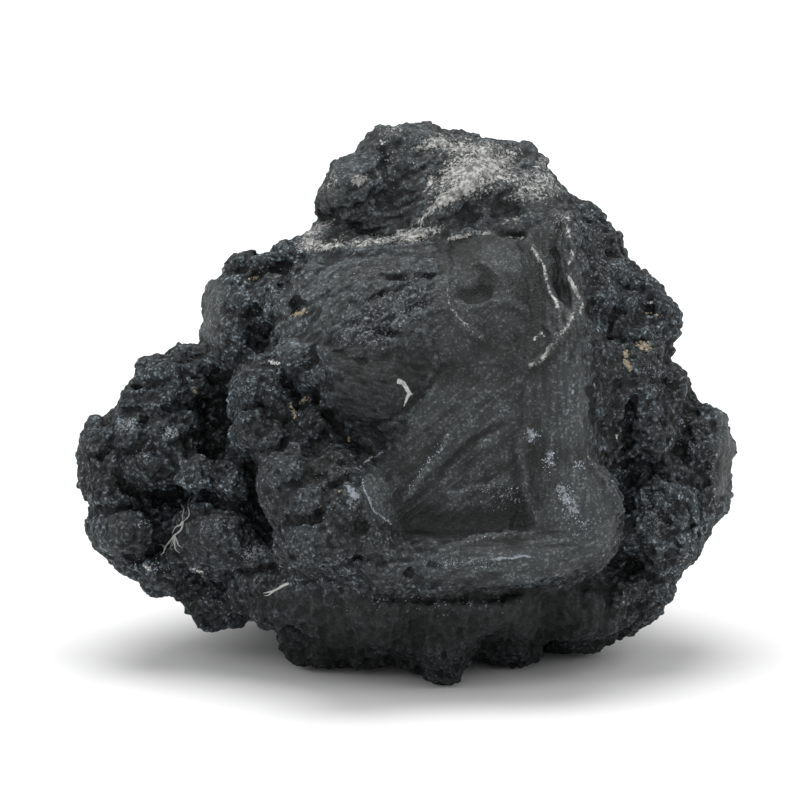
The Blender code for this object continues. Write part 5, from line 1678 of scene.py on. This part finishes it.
def white_room(brightness):
    """Even white light from all around."""
    world = bpy.data.worlds.new("white_room")
    world.use_nodes = True
    background = world.node_tree.nodes["Background"]
    background.inputs["Color"].default_value = (1, 1, 1, 1)
    background.inputs["Strength"].default_value = brightness
    bpy.context.scene.world = world


def soft_lamp(name, strength, angle, away):
    """A lamp that stands this far from the stone's middle and shines on it."""
    data = bpy.data.lights.new(name, "SUN")
    data.energy = strength
    data.angle = math.radians(angle)
    lamp, middle = linked(name, data), Vector(MIDDLE * MM)
    lamp.location = middle + Vector(away)
    lamp.rotation_euler = (middle - lamp.location).to_track_quat("-Z", "Y").to_euler()


def front_camera(lens):
    """The camera that sees the stone in its front view."""
    data = bpy.data.cameras.new("camera")
    data.lens = lens
    camera = linked("camera", data)
    camera.location = Vector(MIDDLE * MM) + Vector(TOWARD) * VIEW_DISTANCE * MM
    camera.rotation_euler = (-Vector(TOWARD)).to_track_quat("-Z", "Y").to_euler()
    bpy.context.scene.camera = camera


class HOWLITE_OT_stage(bpy.types.Operator):
    """Sets the stone on a white table with a soft lamp overhead and a camera in front"""

    bl_idname = "howlite.stage"
    bl_label = "Table, light and camera"

    def execute(self, context):
        settings = context.scene.howlite_stage
        table_top(settings.floor_size)
        white_room(settings.sky)
        for name, power, angle, away in LAMPS:
            soft_lamp(name, getattr(settings, power), angle, away)
        front_camera(settings.lens)
        context.scene.view_settings.view_transform = "Standard"
        return {"FINISHED"}


class HOWLITE_PT_panel(bpy.types.Panel):
    """Lists the nodule's operators and settings in the sidebar"""

    bl_idname = "HOWLITE_PT_panel"
    bl_label = "Howlite nodule"
    bl_space_type = "VIEW_3D"
    bl_region_type = "UI"
    bl_category = "Howlite"

    def draw(self, context):
        for operator, settings in STEPS:
            box = self.layout.box()
            box.operator(operator.bl_idname)
            if settings:
                group = getattr(context.scene, settings)
                for name in group.bl_rna.properties.keys():
                    if name not in ("rna_type", "name"):
                        box.prop(group, name)


STEPS = [
    (HOWLITE_OT_stage, "howlite_stage"),
    (HOWLITE_OT_skin, "howlite_skin"),
    (HOWLITE_OT_fibre, None),
    (HOWLITE_OT_slivers, None),
    (HOWLITE_OT_crumbs, "howlite_small"),
    (HOWLITE_OT_glints, None),
    (HOWLITE_OT_scuffs, None),
]
SETTINGS = {
    "howlite_skin": SkinSettings,
    "howlite_small": SmallSettings,
    "howlite_finish": FinishSettings,
    "howlite_stage": StageSettings,
}
CLASSES = [*SETTINGS.values(), *[operator for operator, _ in STEPS], HOWLITE_PT_panel]


def register():
    for made in CLASSES:
        bpy.utils.register_class(made)
    for name, group in SETTINGS.items():
        setattr(bpy.types.Scene, name, PointerProperty(type=group))


def unregister():
    for name in SETTINGS:
        delattr(bpy.types.Scene, name)
    for made in reversed(CLASSES):
        bpy.utils.unregister_class(made)


def main():
    register()
    bpy.ops.howlite.stage()
    bpy.ops.howlite.skin()
    bpy.ops.howlite.fibre()
    bpy.ops.howlite.slivers()
    bpy.ops.howlite.crumbs()
    bpy.ops.howlite.glints()
    bpy.ops.howlite.scuffs()


if __name__ == "__main__":
    main()
